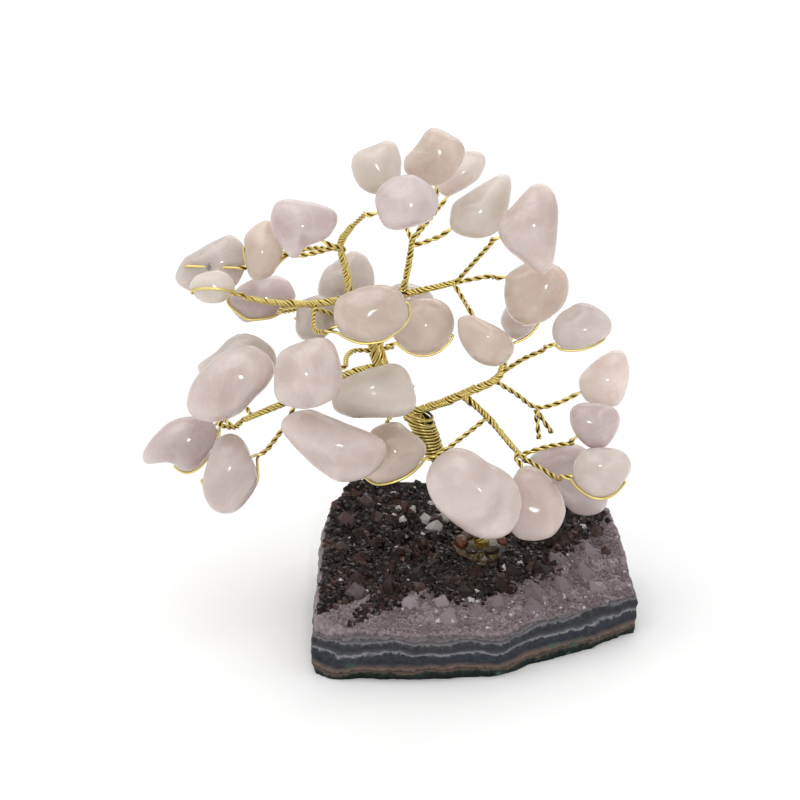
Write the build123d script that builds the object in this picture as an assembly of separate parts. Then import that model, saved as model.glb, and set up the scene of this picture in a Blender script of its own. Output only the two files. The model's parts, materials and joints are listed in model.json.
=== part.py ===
from build123d import *

import math
import os
from collections import namedtuple

# A gemstone tree ornament: drilled, tumbled quartz gems threaded on loops of brass wire.
# Each loop's two ends are twisted into a twig, twigs gather into bendable branches,
# the branches gather into a bound trunk, and the trunk is glued into an amethyst slab.
# Millimetres. +Z is up, the viewer looks along +Y, and the origin is the middle of the slab's underside.

# Crown: how large the picture of the crown is in the real world, and from where it is seen
CROWN_SPAN = 108.0
CROWN_DEPTH = 60.0
EYE_DISTANCE = 600.0
PICTURE_MIDDLE_RISE = 39.0
PICTURE_MIDDLE_SIDE = -16.5
EYE_DROP_DEG = 22.0
CROWN_SPAN_PX = 490.0
PICTURE_MIDDLE_PX = 400.0

# Wire
WIRE_D = 0.6
STRAND_GAP = 0.06
STEM_D = 1.8
RIGHT_STEM_D = 2.2
LIMB_D = 2.2
FORK_D = 2.4
TRUNK_D = 3.6
KNUCKLE_D = 3.0
BEND_GAP = 0.35

# Gems and their loops
GEM_FLAT_SHARE = 0.82
BORE_CLEARANCE = 0.2
LOOP_CLEARANCE = 0.45
LOOP_NECK = 0.9
TIP_GAP = 1.9
LOOP_FIRST_DEG = 15.0
LOOP_STEP_DEG = 30.0
LOOP_SIDES = 6
OUTLINE_STEPS = 20
SECTION_STEPS = 120
LOOP_EXIT = 0.8
EXIT_BEND_SHARE = 0.9

# Trunk binding
BINDING_FOOT_CLEARANCE = 0.35
BINDING_TOP_D = 9.0
BINDING_TURNS = 9
ARCS_A_TURN = 4

# Slab
SLAB_WIDTH = 71.5
SLAB_DEPTH = 62.5
SLAB_HEIGHT = 21.0
SEAT_HEIGHT = 14.0
SEAT_R = 7.5
UNDERSIDE_SHARE = 0.94
BELLY_HEIGHT = 4.0
RIM_SHARE = 0.97
DISH_SHARE = 0.55
DISH_LEVEL_SHARE = 0.35
CRYSTAL_COUNT = 50
CRYSTAL_R = 3.4
CRYSTAL_LEAST_RISE = 1.2
CRYSTAL_MOST_RISE = 2.6
CRYSTAL_RISE_STEP = 0.7549
CRYSTAL_ROOT = 1.6
CRYSTAL_LEAN_SHARE = 0.35
CRYSTAL_SIDES = 6
CRYSTAL_REACH_SHARE = 0.82
GOLDEN_ANGLE_DEG = 137.508

# Planting
SOCKET_DEPTH = 8.0
SOCKET_CLEARANCE = 0.2
GLUE_R = 6.6
GLUE_RISE = 2.6
CHIP_RING_R = 4.6
CHIP_LENGTH = 4.4
CHIP_BREADTH = 3.2
CHIP_LIFT = 0.3
CHIP_CLEARANCE = 0.1

# Bend of a wire at a corner of its route, as a share of the shorter run beside it
BEND_SHARE = 0.45

# Corners of the slab's outline, anticlockwise from the front left:
# shares of the half width, of the half depth and, for the rim, of the height
OUTLINE_SHARES = [
    (-0.99, -0.86, 0.62), (-0.84, -0.96, 0.55), (-0.39, -1.00, 0.50), (0.14, -0.90, 0.48),
    (0.36, -0.67, 0.45), (0.67, -0.46, 0.45), (1.00, -0.16, 0.45), (0.92, 0.38, 0.64),
    (0.84, 0.70, 0.81), (0.39, 0.93, 0.86), (-0.22, 1.00, 0.93), (-0.73, 0.96, 1.00),
    (-0.87, 0.64, 0.88), (-0.95, 0.19, 0.76), (-0.98, -0.38, 0.69),
]

# Chips set in the glue: bearing round the trunk in degrees, and share of the nominal chip size
CHIP_SHARES = [(185, 1.0), (240, 0.72), (300, 0.85), (10, 0.8), (65, 0.7), (125, 0.9)]
# A bearing with no chip, where the round faces of the glue have their seam
CHIP_FREE_DEG = 38.0

# Places in the crown are (column px, row px, depth share): the pixel in the photograph
# and the distance behind the slab's middle as a share of CROWN_DEPTH.
FOOT = (481, 553, 0.10)
TRUNK_ROUTE = [(462, 508, 0.08), (440, 462, 0.07), (412, 413, 0.07), (388, 384, 0.07), (377, 354, 0.07),
               (374, 330, 0.08)]
LEFT_LIMB_ROUTE = [(374, 334, 0.08), (363, 314, 0.08), (350, 298, 0.07)]
RIGHT_LIMB_ROUTE = [(374, 334, 0.08), (387, 310, 0.09), (404, 291, 0.10)]
RIGHT_FORK_ROUTE = [(436, 456, 0.07), (433, 427, 0.05), (442, 409, 0.04)]
LEFT_FORK_ROUTE = [(381, 374, 0.07), (374, 369, 0.065), (366, 370, 0.06)]
BINDING_ROUTE = [(438, 458, 0.07), (426, 424, 0.06)]

# A gem: its middle, length and breadth in pixels, tilt of its length in the picture in degrees,
# how much it swells towards its upper or right end, the side on which its loop comes back
# as a turn about the wire in degrees, and its twig's route from the stem towards the gem.
Gem = namedtuple("Gem", "at size_px tilt_deg swell loop_deg twig")
# A branch: its stem's route from the knuckle that it bends at, its diameter, its gems and its bare twigs
Branch = namedtuple("Branch", "stem diameter gems bare", defaults=((),))

BRANCHES = {
    "right": Branch(
        [(442, 409, 0.04), (469, 398, 0.02), (497, 382, 0.01), (504, 364, 0.03)],
        RIGHT_STEM_D,
        [
            Gem((518, 322, 0.36), (54, 42), 30, 0.0, 180, [(504, 364, 0.03), (511, 352, 0.14)]),
            Gem((582, 327, -0.07), (62, 48), -10, 0.1, 180,
                [(501, 373, 0.02), (528, 355, -0.03), (550, 350, -0.06)]),
            Gem((604, 380, 0.10), (66, 46), 65, -0.35, -90,
                [(497, 382, 0.01), (518, 395, 0.04), (536, 410, 0.06), (562, 402, 0.08)]),
        ],
        [[(536, 410, 0.06), (539, 439, 0.05)], [(536, 410, 0.06), (550, 434, 0.075)]],
    ),
    "lower_right": Branch(
        [(469, 398, 0.02), (486, 412, 0.0), (505, 436, -0.02), (520, 455, -0.04)],
        STEM_D,
        [
            Gem((595, 425, -0.12), (50, 48), 80, 0.15, -60,
                [(520, 455, -0.04), (548, 448, -0.06), (571, 447, -0.078)]),
            Gem((601, 474, -0.24), (66, 54), 10, 0.0, 180,
                [(519, 454, -0.04), (538, 467, -0.10), (554, 474, -0.16)]),
            Gem((572, 480, 0.12), (94, 58), -40, 0.0, 0, [(520, 455, -0.04), (526, 461, 0.01)]),
            Gem((537, 503, -0.22), (80, 54), -55, 0.0, -120, [(517, 451, -0.035), (516, 460, -0.10)]),
            Gem((398, 458, -0.15), (74, 62), 15, 0.0, 180,
                [(486, 412, 0.0), (466, 434, -0.06), (449, 451, -0.11)]),
        ],
    ),
    "upper_right": Branch(
        [(404, 291, 0.10), (428, 289, 0.09), (455, 283, 0.07)],
        STEM_D,
        [
            Gem((531, 228, -0.12), (92, 58), 97, -0.25, -75,
                [(455, 283, 0.07), (475, 261, 0.0), (490, 244, -0.06)]),
            Gem((537, 293, 0.10), (66, 60), 20, 0.0, -90,
                [(444, 286, 0.078), (473, 278, 0.085), (491, 277, 0.09)]),
            Gem((488, 341, -0.15), (66, 48), -25, 0.0, -135, [(449, 284, 0.074), (465, 297, 0.02)]),
        ],
    ),
    "top": Branch(
        [(404, 291, 0.10), (409, 262, 0.08), (412, 240, 0.06)],
        STEM_D,
        [
            Gem((377, 167, 0.24), (60, 46), 60, 0.15, 105, [(412, 240, 0.06), (402, 218, 0.14)]),
            Gem((436, 160, 0.0), (70, 60), 100, 0.0, -15,
                [(412, 240, 0.06), (421, 227, 0.05), (430, 206, 0.03)]),
            Gem((463, 176, 0.30), (58, 38), 45, 0.0, 180, [(411, 243, 0.062), (430, 219, 0.18)]),
            Gem((480, 207, 0.06), (74, 52), 50, -0.3, -75,
                [(411, 246, 0.064), (423, 243, 0.062), (437, 237, 0.06)]),
        ],
    ),
    "upper_left": Branch(
        [(350, 298, 0.07), (346, 270, 0.05), (338, 243, 0.02), (352, 226, -0.04)],
        STEM_D,
        [
            Gem((406, 200, -0.23), (66, 60), 20, 0.0, -90, [(352, 226, -0.04), (365, 216, -0.19)]),
            Gem((304, 226, -0.12), (70, 52), -12, 0.0, 75, [(341, 252, 0.03), (345, 249, -0.06)]),
            Gem((264, 250, 0.06), (60, 42), 60, 0.0, 180,
                [(339, 246, 0.025), (315, 253, 0.07), (300, 256, 0.08)]),
            Gem((211, 266, 0.22), (76, 50), 25, 0.0, -90,
                [(340, 249, 0.03), (306, 247, 0.16), (262, 262, 0.20)]),
            Gem((347, 276, 0.38), (60, 50), 50, 0.0, 0, [(347, 274, 0.052), (349, 276, 0.10)]),
        ],
    ),
    "left": Branch(
        [(350, 298, 0.07), (316, 304, 0.06), (290, 303, 0.04), (268, 302, 0.024), (250, 299, 0.01)],
        STEM_D,
        [
            Gem((208, 292, -0.02), (44, 24), -5, 0.0, 180, [(252, 299, 0.012), (245, 298, 0.004)]),
            Gem((263, 299, 0.32), (72, 46), 10, 0.0, 180, [(288, 303, 0.04), (276, 313, 0.13)]),
            Gem((372, 313, -0.28), (78, 58), 5, 0.0, 180,
                [(316, 304, 0.06), (313, 326, -0.10), (319, 331, -0.22)]),
            Gem((313, 314, 0.20), (58, 44), 80, 0.0, 0, [(313, 305, 0.058), (312, 308, 0.10)]),
        ],
    ),
    "lower_left": Branch(
        [(366, 370, 0.06), (348, 374, 0.055), (318, 388, 0.03), (280, 405, 0.0), (243, 420, -0.03)],
        STEM_D,
        [
            Gem((231, 378, -0.20), (98, 72), 40, 0.0, 0, [(243, 420, -0.03), (236, 430, -0.15)]),
            Gem((238, 362, 0.12), (78, 52), 30, 0.0, 0, [(262, 412, -0.015), (258, 400, 0.05)]),
            Gem((180, 446, -0.02), (84, 48), 18, 0.2, 180, [(243, 420, -0.03), (233, 430, -0.03)]),
            Gem((230, 474, -0.24), (82, 56), 95, -0.15, 180,
                [(300, 396, 0.016), (287, 424, -0.10), (271, 448, -0.185)]),
        ],
    ),
    "trunk": Branch(
        None,
        TRUNK_D,
        [
            Gem((472, 493, -0.40), (112, 76), -42, -0.05, 0, [(453, 489, 0.077), (458, 492, -0.10)]),
            Gem((335, 448, -0.34), (112, 58), -28, 0.1, 180, [(403, 403, 0.07), (387, 419, -0.08)]),
            Gem((376, 391, -0.18), (88, 52), 8, 0.15, 0, [(391, 388, 0.07), (387, 390, 0.0)]),
            Gem((309, 373, -0.38), (72, 66), 10, 0.0, 180,
                [(377, 351, 0.071), (354, 350, 0.0), (346, 356, -0.14)]),
            Gem((422, 325, -0.05), (66, 58), 20, 0.0, -60,
                [(377, 355, 0.07), (386, 353, 0.04), (396, 350, 0.01)]),
            Gem((408, 300, 0.36), (56, 42), -10, 0.0, 0, [(389, 307, 0.091), (394, 305, 0.15)]),
        ],
    ),
}

# Worked out from the driving dimensions
MM_PER_PX = CROWN_SPAN / CROWN_SPAN_PX
EYE_DROP = math.radians(EYE_DROP_DEG)
RIGHT = Vector(1, 0, 0)
UP = Vector(0, math.sin(EYE_DROP), math.cos(EYE_DROP))
AWAY = Vector(0, math.cos(EYE_DROP), -math.sin(EYE_DROP))
PICTURE_MIDDLE = Vector(PICTURE_MIDDLE_SIDE, 0, SEAT_HEIGHT + PICTURE_MIDDLE_RISE)
EYE = PICTURE_MIDDLE - AWAY * EYE_DISTANCE
STRAND_OFFSET = (WIRE_D + STRAND_GAP) / 2
PAIR_D = 2 * (WIRE_D + STRAND_GAP)
BORE_D = WIRE_D + 2 * BORE_CLEARANCE
KNUCKLE_REACH = KNUCKLE_D / 2 + BEND_GAP


def sight_scale(row, depth_share):
    """How much farther than the picture's middle a pixel of this row is at this depth."""
    ray_depth = EYE_DISTANCE * AWAY.Y + (PICTURE_MIDDLE_PX - row) * MM_PER_PX * UP.Y
    return (depth_share * CROWN_DEPTH - EYE.Y) / ray_depth


def spot(place):
    """The point of the real tree behind a pixel of the photograph."""
    column, row, depth_share = place
    across = RIGHT * ((column - PICTURE_MIDDLE_PX) * MM_PER_PX)
    upward = UP * ((PICTURE_MIDDLE_PX - row) * MM_PER_PX)
    return EYE + (AWAY * EYE_DISTANCE + across + upward) * sight_scale(row, depth_share)


def bent_path(points, mouth=math.inf):
    """Straight runs joined by tangent arcs as wide as the runs allow; the first starts within mouth."""
    if len(points) == 2:
        return Line(*points)
    radii = []
    for before, corner, after in zip(points, points[1:], points[2:]):
        turn = math.radians((corner - before).get_angle(after - corner))
        reach = BEND_SHARE * min((corner - before).length, (after - corner).length)
        if not radii:
            reach = min(reach, mouth)
        radii.append(reach / math.tan(turn / 2))
    return FilletPolyline(*points, radius=radii)


def tube(path, diameter):
    return sweep(Plane(path @ 0, z_dir=path % 0) * Circle(diameter / 2), path=path)


def largest(shape):
    return max(shape.solids(), key=lambda solid: solid.volume)


def girth(along, swell):
    """Radius of a tumbled stone at a share of its half length, as a share of its half breadth."""
    return math.sqrt(max(0, 1 - along**2)) * (1 + swell * along)


def stone(length, breadth, thickness, swell):
    """A tumbled stone with its length along X and its thickness along Z."""
    angles = [math.pi * step / OUTLINE_STEPS for step in range(OUTLINE_STEPS + 1)]
    outline = [
        (length / 2 * math.cos(angle), breadth / 2 * girth(math.cos(angle), swell)) for angle in angles
    ]
    curve = Spline(*outline, tangents=[(0, 1), (0, -1)])
    flatten = (1, 1, thickness / breadth)
    skins = [scale(Face.revolve(curve.edge(), arc, Axis.X), by=flatten) for arc in (180, -180)]
    return Solid(Shell([face for skin in skins for face in skin.faces()]))


def gem_frame(gem):
    """A gem's middle, its axes along length, breadth and thickness, and those three sizes."""
    tilt = math.radians(gem.tilt_deg)
    along = RIGHT * math.cos(tilt) + UP * math.sin(tilt)
    across = UP * math.cos(tilt) - RIGHT * math.sin(tilt)
    _, row, depth_share = gem.at
    size = MM_PER_PX * sight_scale(row, depth_share)
    length, breadth = (pixels * size for pixels in gem.size_px)
    return spot(gem.at), (along, across, along.cross(across)), (length, breadth, breadth * GEM_FLAT_SHARE)


def skin_distance(gem, direction):
    """Distance from a gem's middle to its skin."""
    _, axes, sizes = gem_frame(gem)
    along, across, over = (2 * direction.dot(axis) / size for axis, size in zip(axes, sizes))
    inside, outside = 0, max(sizes)
    while outside - inside > LOOP_CLEARANCE / 100:
        distance = (inside + outside) / 2
        share = distance * along
        if abs(share) < 1 and distance * math.hypot(across, over) < girth(share, gem.swell):
            inside = distance
        else:
            outside = distance
    return outside


def loop_axes(gem):
    """The way that a gem's wire runs through it, and the side on which the wire comes back."""
    middle = spot(gem.at)
    through = (middle - spot(gem.twig[-1])).normalized()
    side = (UP - through * UP.dot(through)).normalized()
    turn = math.radians(gem.loop_deg)
    return middle, through, side * math.cos(turn) + through.cross(side) * math.sin(turn)


def gem_section(gem):
    """A gem's outline in the plane of its loop, and where the loop enters and leaves it."""
    _, through, side = loop_axes(gem)
    section = []
    for step in range(SECTION_STEPS):
        angle = 2 * math.pi * step / SECTION_STEPS
        reach = skin_distance(gem, through * math.cos(angle) + side * math.sin(angle))
        section.append((reach * math.cos(angle), reach * math.sin(angle)))
    mouths = [x for x, y in section if abs(y) < STRAND_OFFSET + BORE_D / 2]
    return section, min(mouths), max(mouths)


def twig_tip(gem):
    """Where a twig's two strands part, just before the gem."""
    middle, through, _ = loop_axes(gem)
    _, entry, _ = gem_section(gem)
    return middle + through * (entry - TIP_GAP)


def gem_loop(gem):
    """The unbroken wire from one strand of a twig, through its gem and back round it to the other."""
    middle, through, side = loop_axes(gem)
    section, entry, leave = gem_section(gem)
    sides = []
    for number in range(LOOP_SIDES):
        angle = math.radians(LOOP_FIRST_DEG + LOOP_STEP_DEG * number)
        touch = max(x * math.cos(angle) + y * math.sin(angle) for x, y in section)
        sides.append((angle, touch + LOOP_CLEARANCE + WIRE_D / 2))
    first, reach = sides[0]
    near = entry - TIP_GAP
    far = max(leave + LOOP_EXIT, (reach + STRAND_OFFSET * math.sin(first)) / math.cos(first))
    flat = [(near, -STRAND_OFFSET), (far, -STRAND_OFFSET)]
    for (a, reach_a), (b, reach_b) in zip(sides, sides[1:]):
        x = reach_a * math.sin(b) - reach_b * math.sin(a)
        y = reach_b * math.cos(a) - reach_a * math.cos(b)
        flat.append((x / math.sin(b - a), y / math.sin(b - a)))
    flat += [(near + LOOP_NECK, STRAND_OFFSET), (near, STRAND_OFFSET)]
    mouth = (far - leave) * EXIT_BEND_SHARE
    return tube(bent_path([middle + through * x + side * y for x, y in flat], mouth), WIRE_D)


def drilled_gem(gem):
    """A tumbled stone with a hole for its wire."""
    middle, (along, _, over), sizes = gem_frame(gem)
    body = Plane(middle, x_dir=along, z_dir=over) * stone(*sizes, gem.swell)
    _, through, side = loop_axes(gem)
    bore = Plane(middle - side * STRAND_OFFSET, z_dir=through) * Cylinder(BORE_D / 2, 2 * max(sizes))
    return largest(body - bore)


def joined_wires(stem, routes):
    """The stem and the twigs that leave it, each trimmed where it meets those before it."""
    solids = [stem]
    for points in routes:
        twig = tube(bent_path(points), PAIR_D)
        for earlier in solids:
            twig = largest(twig - earlier)
        solids.append(twig)
    return solids


def branch_stem(branch):
    """A bendable branch's stem, which starts just clear of the knuckle that it bends at."""
    points = [spot(place) for place in branch.stem]
    points[0] += (points[1] - points[0]).normalized() * KNUCKLE_REACH
    return tube(bent_path(points), branch.diameter).solid()


def twig_routes(branch):
    routes = [[*(spot(place) for place in gem.twig), twig_tip(gem)] for gem in branch.gems]
    return routes + [[spot(place) for place in route] for route in branch.bare]


def limb(route, diameter):
    """A fixed limb that ends in the knuckle of one or two branches."""
    path = bent_path([spot(place) for place in route])
    return tube(path, diameter) + Plane(path @ 1, z_dir=path % 1) * Sphere(KNUCKLE_D / 2)


def biarc(start, start_way, end, end_way):
    """Two arcs that leave start and reach end along the given directions."""
    chord = end - start
    both = start_way + end_way
    square = 2 * (1 - start_way.dot(end_way))
    slope = chord.dot(both)
    reach = (math.sqrt(slope**2 + square * chord.dot(chord)) - slope) / square
    meet = (start + start_way * reach + end - end_way * reach) / 2
    first = TangentArc(start, meet, tangent=start_way)
    return [first, TangentArc(meet, end, tangent=first % 1)]


def binding():
    """The wire wound round the trunk where the right fork leaves it, with its gap to itself printed."""
    foot, top = (spot(place) for place in BINDING_ROUTE)
    frame = Plane(foot, z_dir=top - foot)
    foot_r = TRUNK_D / 2 + BINDING_FOOT_CLEARANCE + WIRE_D / 2
    top_r = BINDING_TOP_D / 2
    full_turn = 2 * math.pi * BINDING_TURNS

    def place(share):
        angle = full_turn * share
        radius = foot_r + (top_r - foot_r) * share
        ring = frame.x_dir * math.cos(angle) + frame.y_dir * math.sin(angle)
        tangent = frame.y_dir * math.cos(angle) - frame.x_dir * math.sin(angle)
        way = tangent * (radius * full_turn) + ring * (top_r - foot_r) + (top - foot)
        return foot + (top - foot) * share + ring * radius, way.normalized()

    steps = BINDING_TURNS * ARCS_A_TURN
    knots = [place(step / steps) for step in range(steps + 1)]
    edges = [edge for a, b in zip(knots, knots[1:]) for edge in biarc(*a, *b)]
    points = [point for point, _ in knots]
    gap = min(
        (points[i] - points[j]).length
        for i in range(len(points))
        for j in range(i + ARCS_A_TURN - 1, len(points))
    )
    print("binding gap to itself", round(gap - WIRE_D, 2), "mm")
    return tube(Wire(edges), WIRE_D)


def outline_ring(share, height_of):
    """One ring of the slab's corners: the outline shrunk by a share, at a height for each corner."""
    return [
        Vector(x * share * SLAB_WIDTH / 2, y * share * SLAB_DEPTH / 2, height_of(rim * SLAB_HEIGHT))
        for x, y, rim in OUTLINE_SHARES
    ]


def strip(lower, upper):
    """Triangles between two rings with as many corners."""
    triangles = []
    for i in range(len(lower)):
        after = (i + 1) % len(lower)
        triangles += [(lower[i], lower[after], upper[after]), (lower[i], upper[after], upper[i])]
    return triangles


def seat_ring(seat):
    bearings = [math.atan2(y * SLAB_DEPTH, x * SLAB_WIDTH) for x, y, _ in OUTLINE_SHARES]
    return [seat + Vector(SEAT_R * math.cos(b), SEAT_R * math.sin(b), 0) for b in bearings]


def dish_ring(seat):
    """The ring between rim and seat, where the crystal lining sags."""
    rim = outline_ring(RIM_SHARE, lambda height: height)
    ring = []
    for corner in rim:
        level = SEAT_HEIGHT + (corner.Z - SEAT_HEIGHT) * DISH_LEVEL_SHARE
        flat = seat + (corner - seat) * DISH_SHARE
        ring.append(Vector(flat.X, flat.Y, level))
    return ring


def lining_height(x, y, triangles):
    """Height of the crystal lining over a point, or None past its edge."""
    for a, b, c in triangles:
        area = (b.X - a.X) * (c.Y - a.Y) - (c.X - a.X) * (b.Y - a.Y)
        v = ((x - a.X) * (c.Y - a.Y) - (c.X - a.X) * (y - a.Y)) / area
        w = ((b.X - a.X) * (y - a.Y) - (x - a.X) * (b.Y - a.Y)) / area
        if min(v, w, 1 - v - w) >= 0:
            return a.Z + (b.Z - a.Z) * v + (c.Z - a.Z) * w
    return None


def crystal(root, lean, radius, height):
    """A six-sided quartz point."""
    corners = [
        root + Vector(radius * math.cos(turn), radius * math.sin(turn), 0)
        for turn in (2 * math.pi * side / CRYSTAL_SIDES for side in range(CRYSTAL_SIDES))
    ]
    apex = root + lean + Vector(0, 0, height)
    faces = [Face(Wire.make_polygon([a, b, apex])) for a, b in zip(corners, corners[1:] + corners[:1])]
    return Solid(Shell(faces + [Face(Wire.make_polygon(corners))]))


def amethyst_slab(seat):
    """The cut slab with its crystal lining, and the drilled socket for the trunk."""
    underside = outline_ring(UNDERSIDE_SHARE, lambda height: 0)
    belly = outline_ring(1, lambda height: BELLY_HEIGHT)
    rim = outline_ring(RIM_SHARE, lambda height: height)
    lining = strip(rim, dish_ring(seat)) + strip(dish_ring(seat), seat_ring(seat))
    triangles = strip(underside, belly) + strip(belly, rim) + lining
    flats = [underside, seat_ring(seat)]
    faces = [Face(Wire.make_polygon(corners)) for corners in triangles + flats]
    slab = Solid(Shell(faces))
    points = []
    for number in range(CRYSTAL_COUNT):
        spread = math.sqrt((number + 1) / CRYSTAL_COUNT)
        bearing = math.radians(number * GOLDEN_ANGLE_DEG)
        edge = Vector(math.cos(bearing) * SLAB_WIDTH, math.sin(bearing) * SLAB_DEPTH) * (spread / 2)
        x, y = edge.X * CRYSTAL_REACH_SHARE, edge.Y * CRYSTAL_REACH_SHARE
        by_seat = math.hypot(x - seat.X, y - seat.Y) < SEAT_R + CRYSTAL_R
        if by_seat or lining_height(edge.X, edge.Y, lining) is None:
            continue
        height = lining_height(x, y, lining)
        lean = Vector(math.cos(bearing), math.sin(bearing), 0) * CRYSTAL_LEAN_SHARE * -CRYSTAL_R
        share = number * CRYSTAL_RISE_STEP % 1
        rise = CRYSTAL_LEAST_RISE + (CRYSTAL_MOST_RISE - CRYSTAL_LEAST_RISE) * share
        root = Vector(x, y, height - CRYSTAL_ROOT)
        points.append(crystal(root, lean, CRYSTAL_R, CRYSTAL_ROOT + rise))
    socket = Pos(seat) * Cylinder(
        TRUNK_D / 2 + SOCKET_CLEARANCE, SOCKET_DEPTH, align=(Align.CENTER, Align.CENTER, Align.MAX)
    )
    return largest(slab.fuse(*points) - socket)


def foot_chips(seat, clearance=0):
    """Small tumbled chips set round the trunk's foot, or their pockets if there is a clearance round them."""
    chips = []
    for bearing, share in CHIP_SHARES:
        length, breadth = CHIP_LENGTH * share, CHIP_BREADTH * share
        middle = seat + Vector(CHIP_RING_R, 0, 0).rotate(Axis.Z, bearing)
        lift = Vector(0, 0, breadth / 2 + CHIP_LIFT)
        chip = stone(breadth + 2 * clearance, length + 2 * clearance, breadth + 2 * clearance, 0)
        chips.append(Pos(middle + lift) * Rot(0, 0, bearing) * chip)
    return chips


def glue_mound(seat):
    """The clear glue that holds the trunk in its socket, moulded round the chips."""
    ball_r = (GLUE_R**2 + GLUE_RISE**2) / (2 * GLUE_RISE)
    foot = Pos(seat) * Rot(0, 0, CHIP_FREE_DEG)
    cap = foot * Pos(0, 0, GLUE_RISE - ball_r) * Sphere(ball_r)
    above = foot * Cylinder(GLUE_R, GLUE_RISE, align=(Align.CENTER, Align.CENTER, Align.MIN))
    hole = foot * Cylinder(TRUNK_D / 2 + SOCKET_CLEARANCE, 2 * GLUE_RISE)
    mound = (cap & above) - hole
    for pocket in foot_chips(seat, CHIP_CLEARANCE):
        mound -= pocket
    return largest(mound)


def trunk(seat):
    """The bundle of twisted wires, from the bottom of its socket to where its limbs part."""
    below = seat - Vector(0, 0, SOCKET_DEPTH - SOCKET_CLEARANCE)
    above = seat + Vector(0, 0, GLUE_RISE + TRUNK_D)
    return tube(bent_path([below, above, *(spot(place) for place in TRUNK_ROUTE)]), TRUNK_D).solid()


def build():
    """Every sub-part by its name: a solid or a list of solids."""
    foot = spot(FOOT)
    seat = Vector(foot.X, foot.Y, SEAT_HEIGHT)
    core = trunk(seat)
    left_limb = largest(limb(LEFT_LIMB_ROUTE, LIMB_D) - core)
    right_limb = largest(limb(RIGHT_LIMB_ROUTE, LIMB_D) - core - left_limb)
    nodes = {
        "amethyst_slab": amethyst_slab(seat),
        "glue_mound": glue_mound(seat),
        "foot_chips": foot_chips(seat),
        "trunk": core,
        "left_limb": left_limb,
        "right_limb": right_limb,
        "right_fork": largest(limb(RIGHT_FORK_ROUTE, FORK_D) - core),
        "left_fork": largest(limb(LEFT_FORK_ROUTE, FORK_D) - core),
        "trunk_binding": binding(),
    }
    for name, branch in BRANCHES.items():
        if branch.stem:
            nodes[f"{name}_wires"] = joined_wires(branch_stem(branch), twig_routes(branch))
        else:
            fixed = core.fuse(left_limb, right_limb)
            nodes[f"{name}_twigs"] = joined_wires(fixed, twig_routes(branch))[1:]
        nodes[f"{name}_loops"] = [gem_loop(gem) for gem in branch.gems]
        for number, gem in enumerate(branch.gems, 1):
            nodes[f"{name}_gem_{number}"] = drilled_gem(gem)
    return nodes


def main():
    os.makedirs("parts", exist_ok=True)
    for name, shape in build().items():
        solids = shape if isinstance(shape, list) else [shape]
        export_step(Compound([solid for part in solids for solid in part.solids()]), f"parts/{name}.step")


main()
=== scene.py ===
import json
import math
import random
from collections import namedtuple

import bmesh
import bpy
import numpy as np
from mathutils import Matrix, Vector, noise

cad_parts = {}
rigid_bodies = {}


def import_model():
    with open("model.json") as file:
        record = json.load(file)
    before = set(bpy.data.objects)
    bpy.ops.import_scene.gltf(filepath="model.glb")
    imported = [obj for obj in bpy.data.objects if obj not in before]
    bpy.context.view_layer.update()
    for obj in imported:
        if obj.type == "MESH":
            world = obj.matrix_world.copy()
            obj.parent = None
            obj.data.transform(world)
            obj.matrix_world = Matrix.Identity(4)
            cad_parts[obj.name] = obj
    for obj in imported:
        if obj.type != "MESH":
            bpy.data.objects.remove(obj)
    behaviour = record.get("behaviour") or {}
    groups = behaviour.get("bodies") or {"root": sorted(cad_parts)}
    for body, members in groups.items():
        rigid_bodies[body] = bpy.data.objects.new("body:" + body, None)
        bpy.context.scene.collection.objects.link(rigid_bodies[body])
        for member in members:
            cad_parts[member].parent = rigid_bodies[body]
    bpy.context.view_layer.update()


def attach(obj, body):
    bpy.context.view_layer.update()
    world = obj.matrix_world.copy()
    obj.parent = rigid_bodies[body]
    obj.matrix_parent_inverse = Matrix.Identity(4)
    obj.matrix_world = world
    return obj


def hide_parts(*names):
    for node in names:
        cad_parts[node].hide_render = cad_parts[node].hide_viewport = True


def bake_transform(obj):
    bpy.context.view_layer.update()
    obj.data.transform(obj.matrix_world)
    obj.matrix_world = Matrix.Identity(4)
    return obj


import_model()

MM = 0.001

# The photograph's view: the same values as the solids were placed with
CROWN_SPAN = 108.0 * MM
CROWN_DEPTH = 60.0 * MM
EYE_DISTANCE = 600.0 * MM
EYE_DROP = math.radians(22.0)
CROWN_SPAN_PX = 490.0
PICTURE_PX = 800.0
PICTURE_MIDDLE_PX = 400.0
SEAT_HEIGHT = 14.0 * MM
PICTURE_MIDDLE = np.array((-16.5 * MM, 0.0, SEAT_HEIGHT + 39.0 * MM))
MM_PER_PX = CROWN_SPAN / CROWN_SPAN_PX
RIGHT = np.array((1.0, 0.0, 0.0))
UP = np.array((0.0, math.sin(EYE_DROP), math.cos(EYE_DROP)))
AWAY = np.array((0.0, math.cos(EYE_DROP), -math.sin(EYE_DROP)))
EYE = PICTURE_MIDDLE - AWAY * EYE_DISTANCE
SENSOR_MM = 36.0

# Wire
WIRE_R = 0.30 * MM
STRAND_OFFSET = 0.33 * MM
PAIR_PITCH = 4.2 * MM
# Painted shade level of a wire outside any twist
UNSHADED_LEVEL = 0.8
WIRE_STEP = 0.28 * MM
WIRE_SIDES = 8
ROPE_LUMP = 3.2 * MM
ROPE_UNEVEN = 0.30
ROPE_STRAY_TURN = 0.7
CORE_FROM_R = 1.5 * WIRE_R
CORE_INSET = 0.3 * WIRE_R
CUT_END_SHARE = 0.75
CORNER_SHARE = 0.45
CORNER_STEPS = 9
SOFT_ROUNDS = 4
UPRIGHT_FROM = 0.9
TIP_GAP = 1.0 * MM
APPROACH = 1.3 * MM
LOOP_HUG = 0.06 * MM
LOOP_START_DEG = 24
LOOP_END_DEG = 158
LOOP_STEP_DEG = 6
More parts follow.
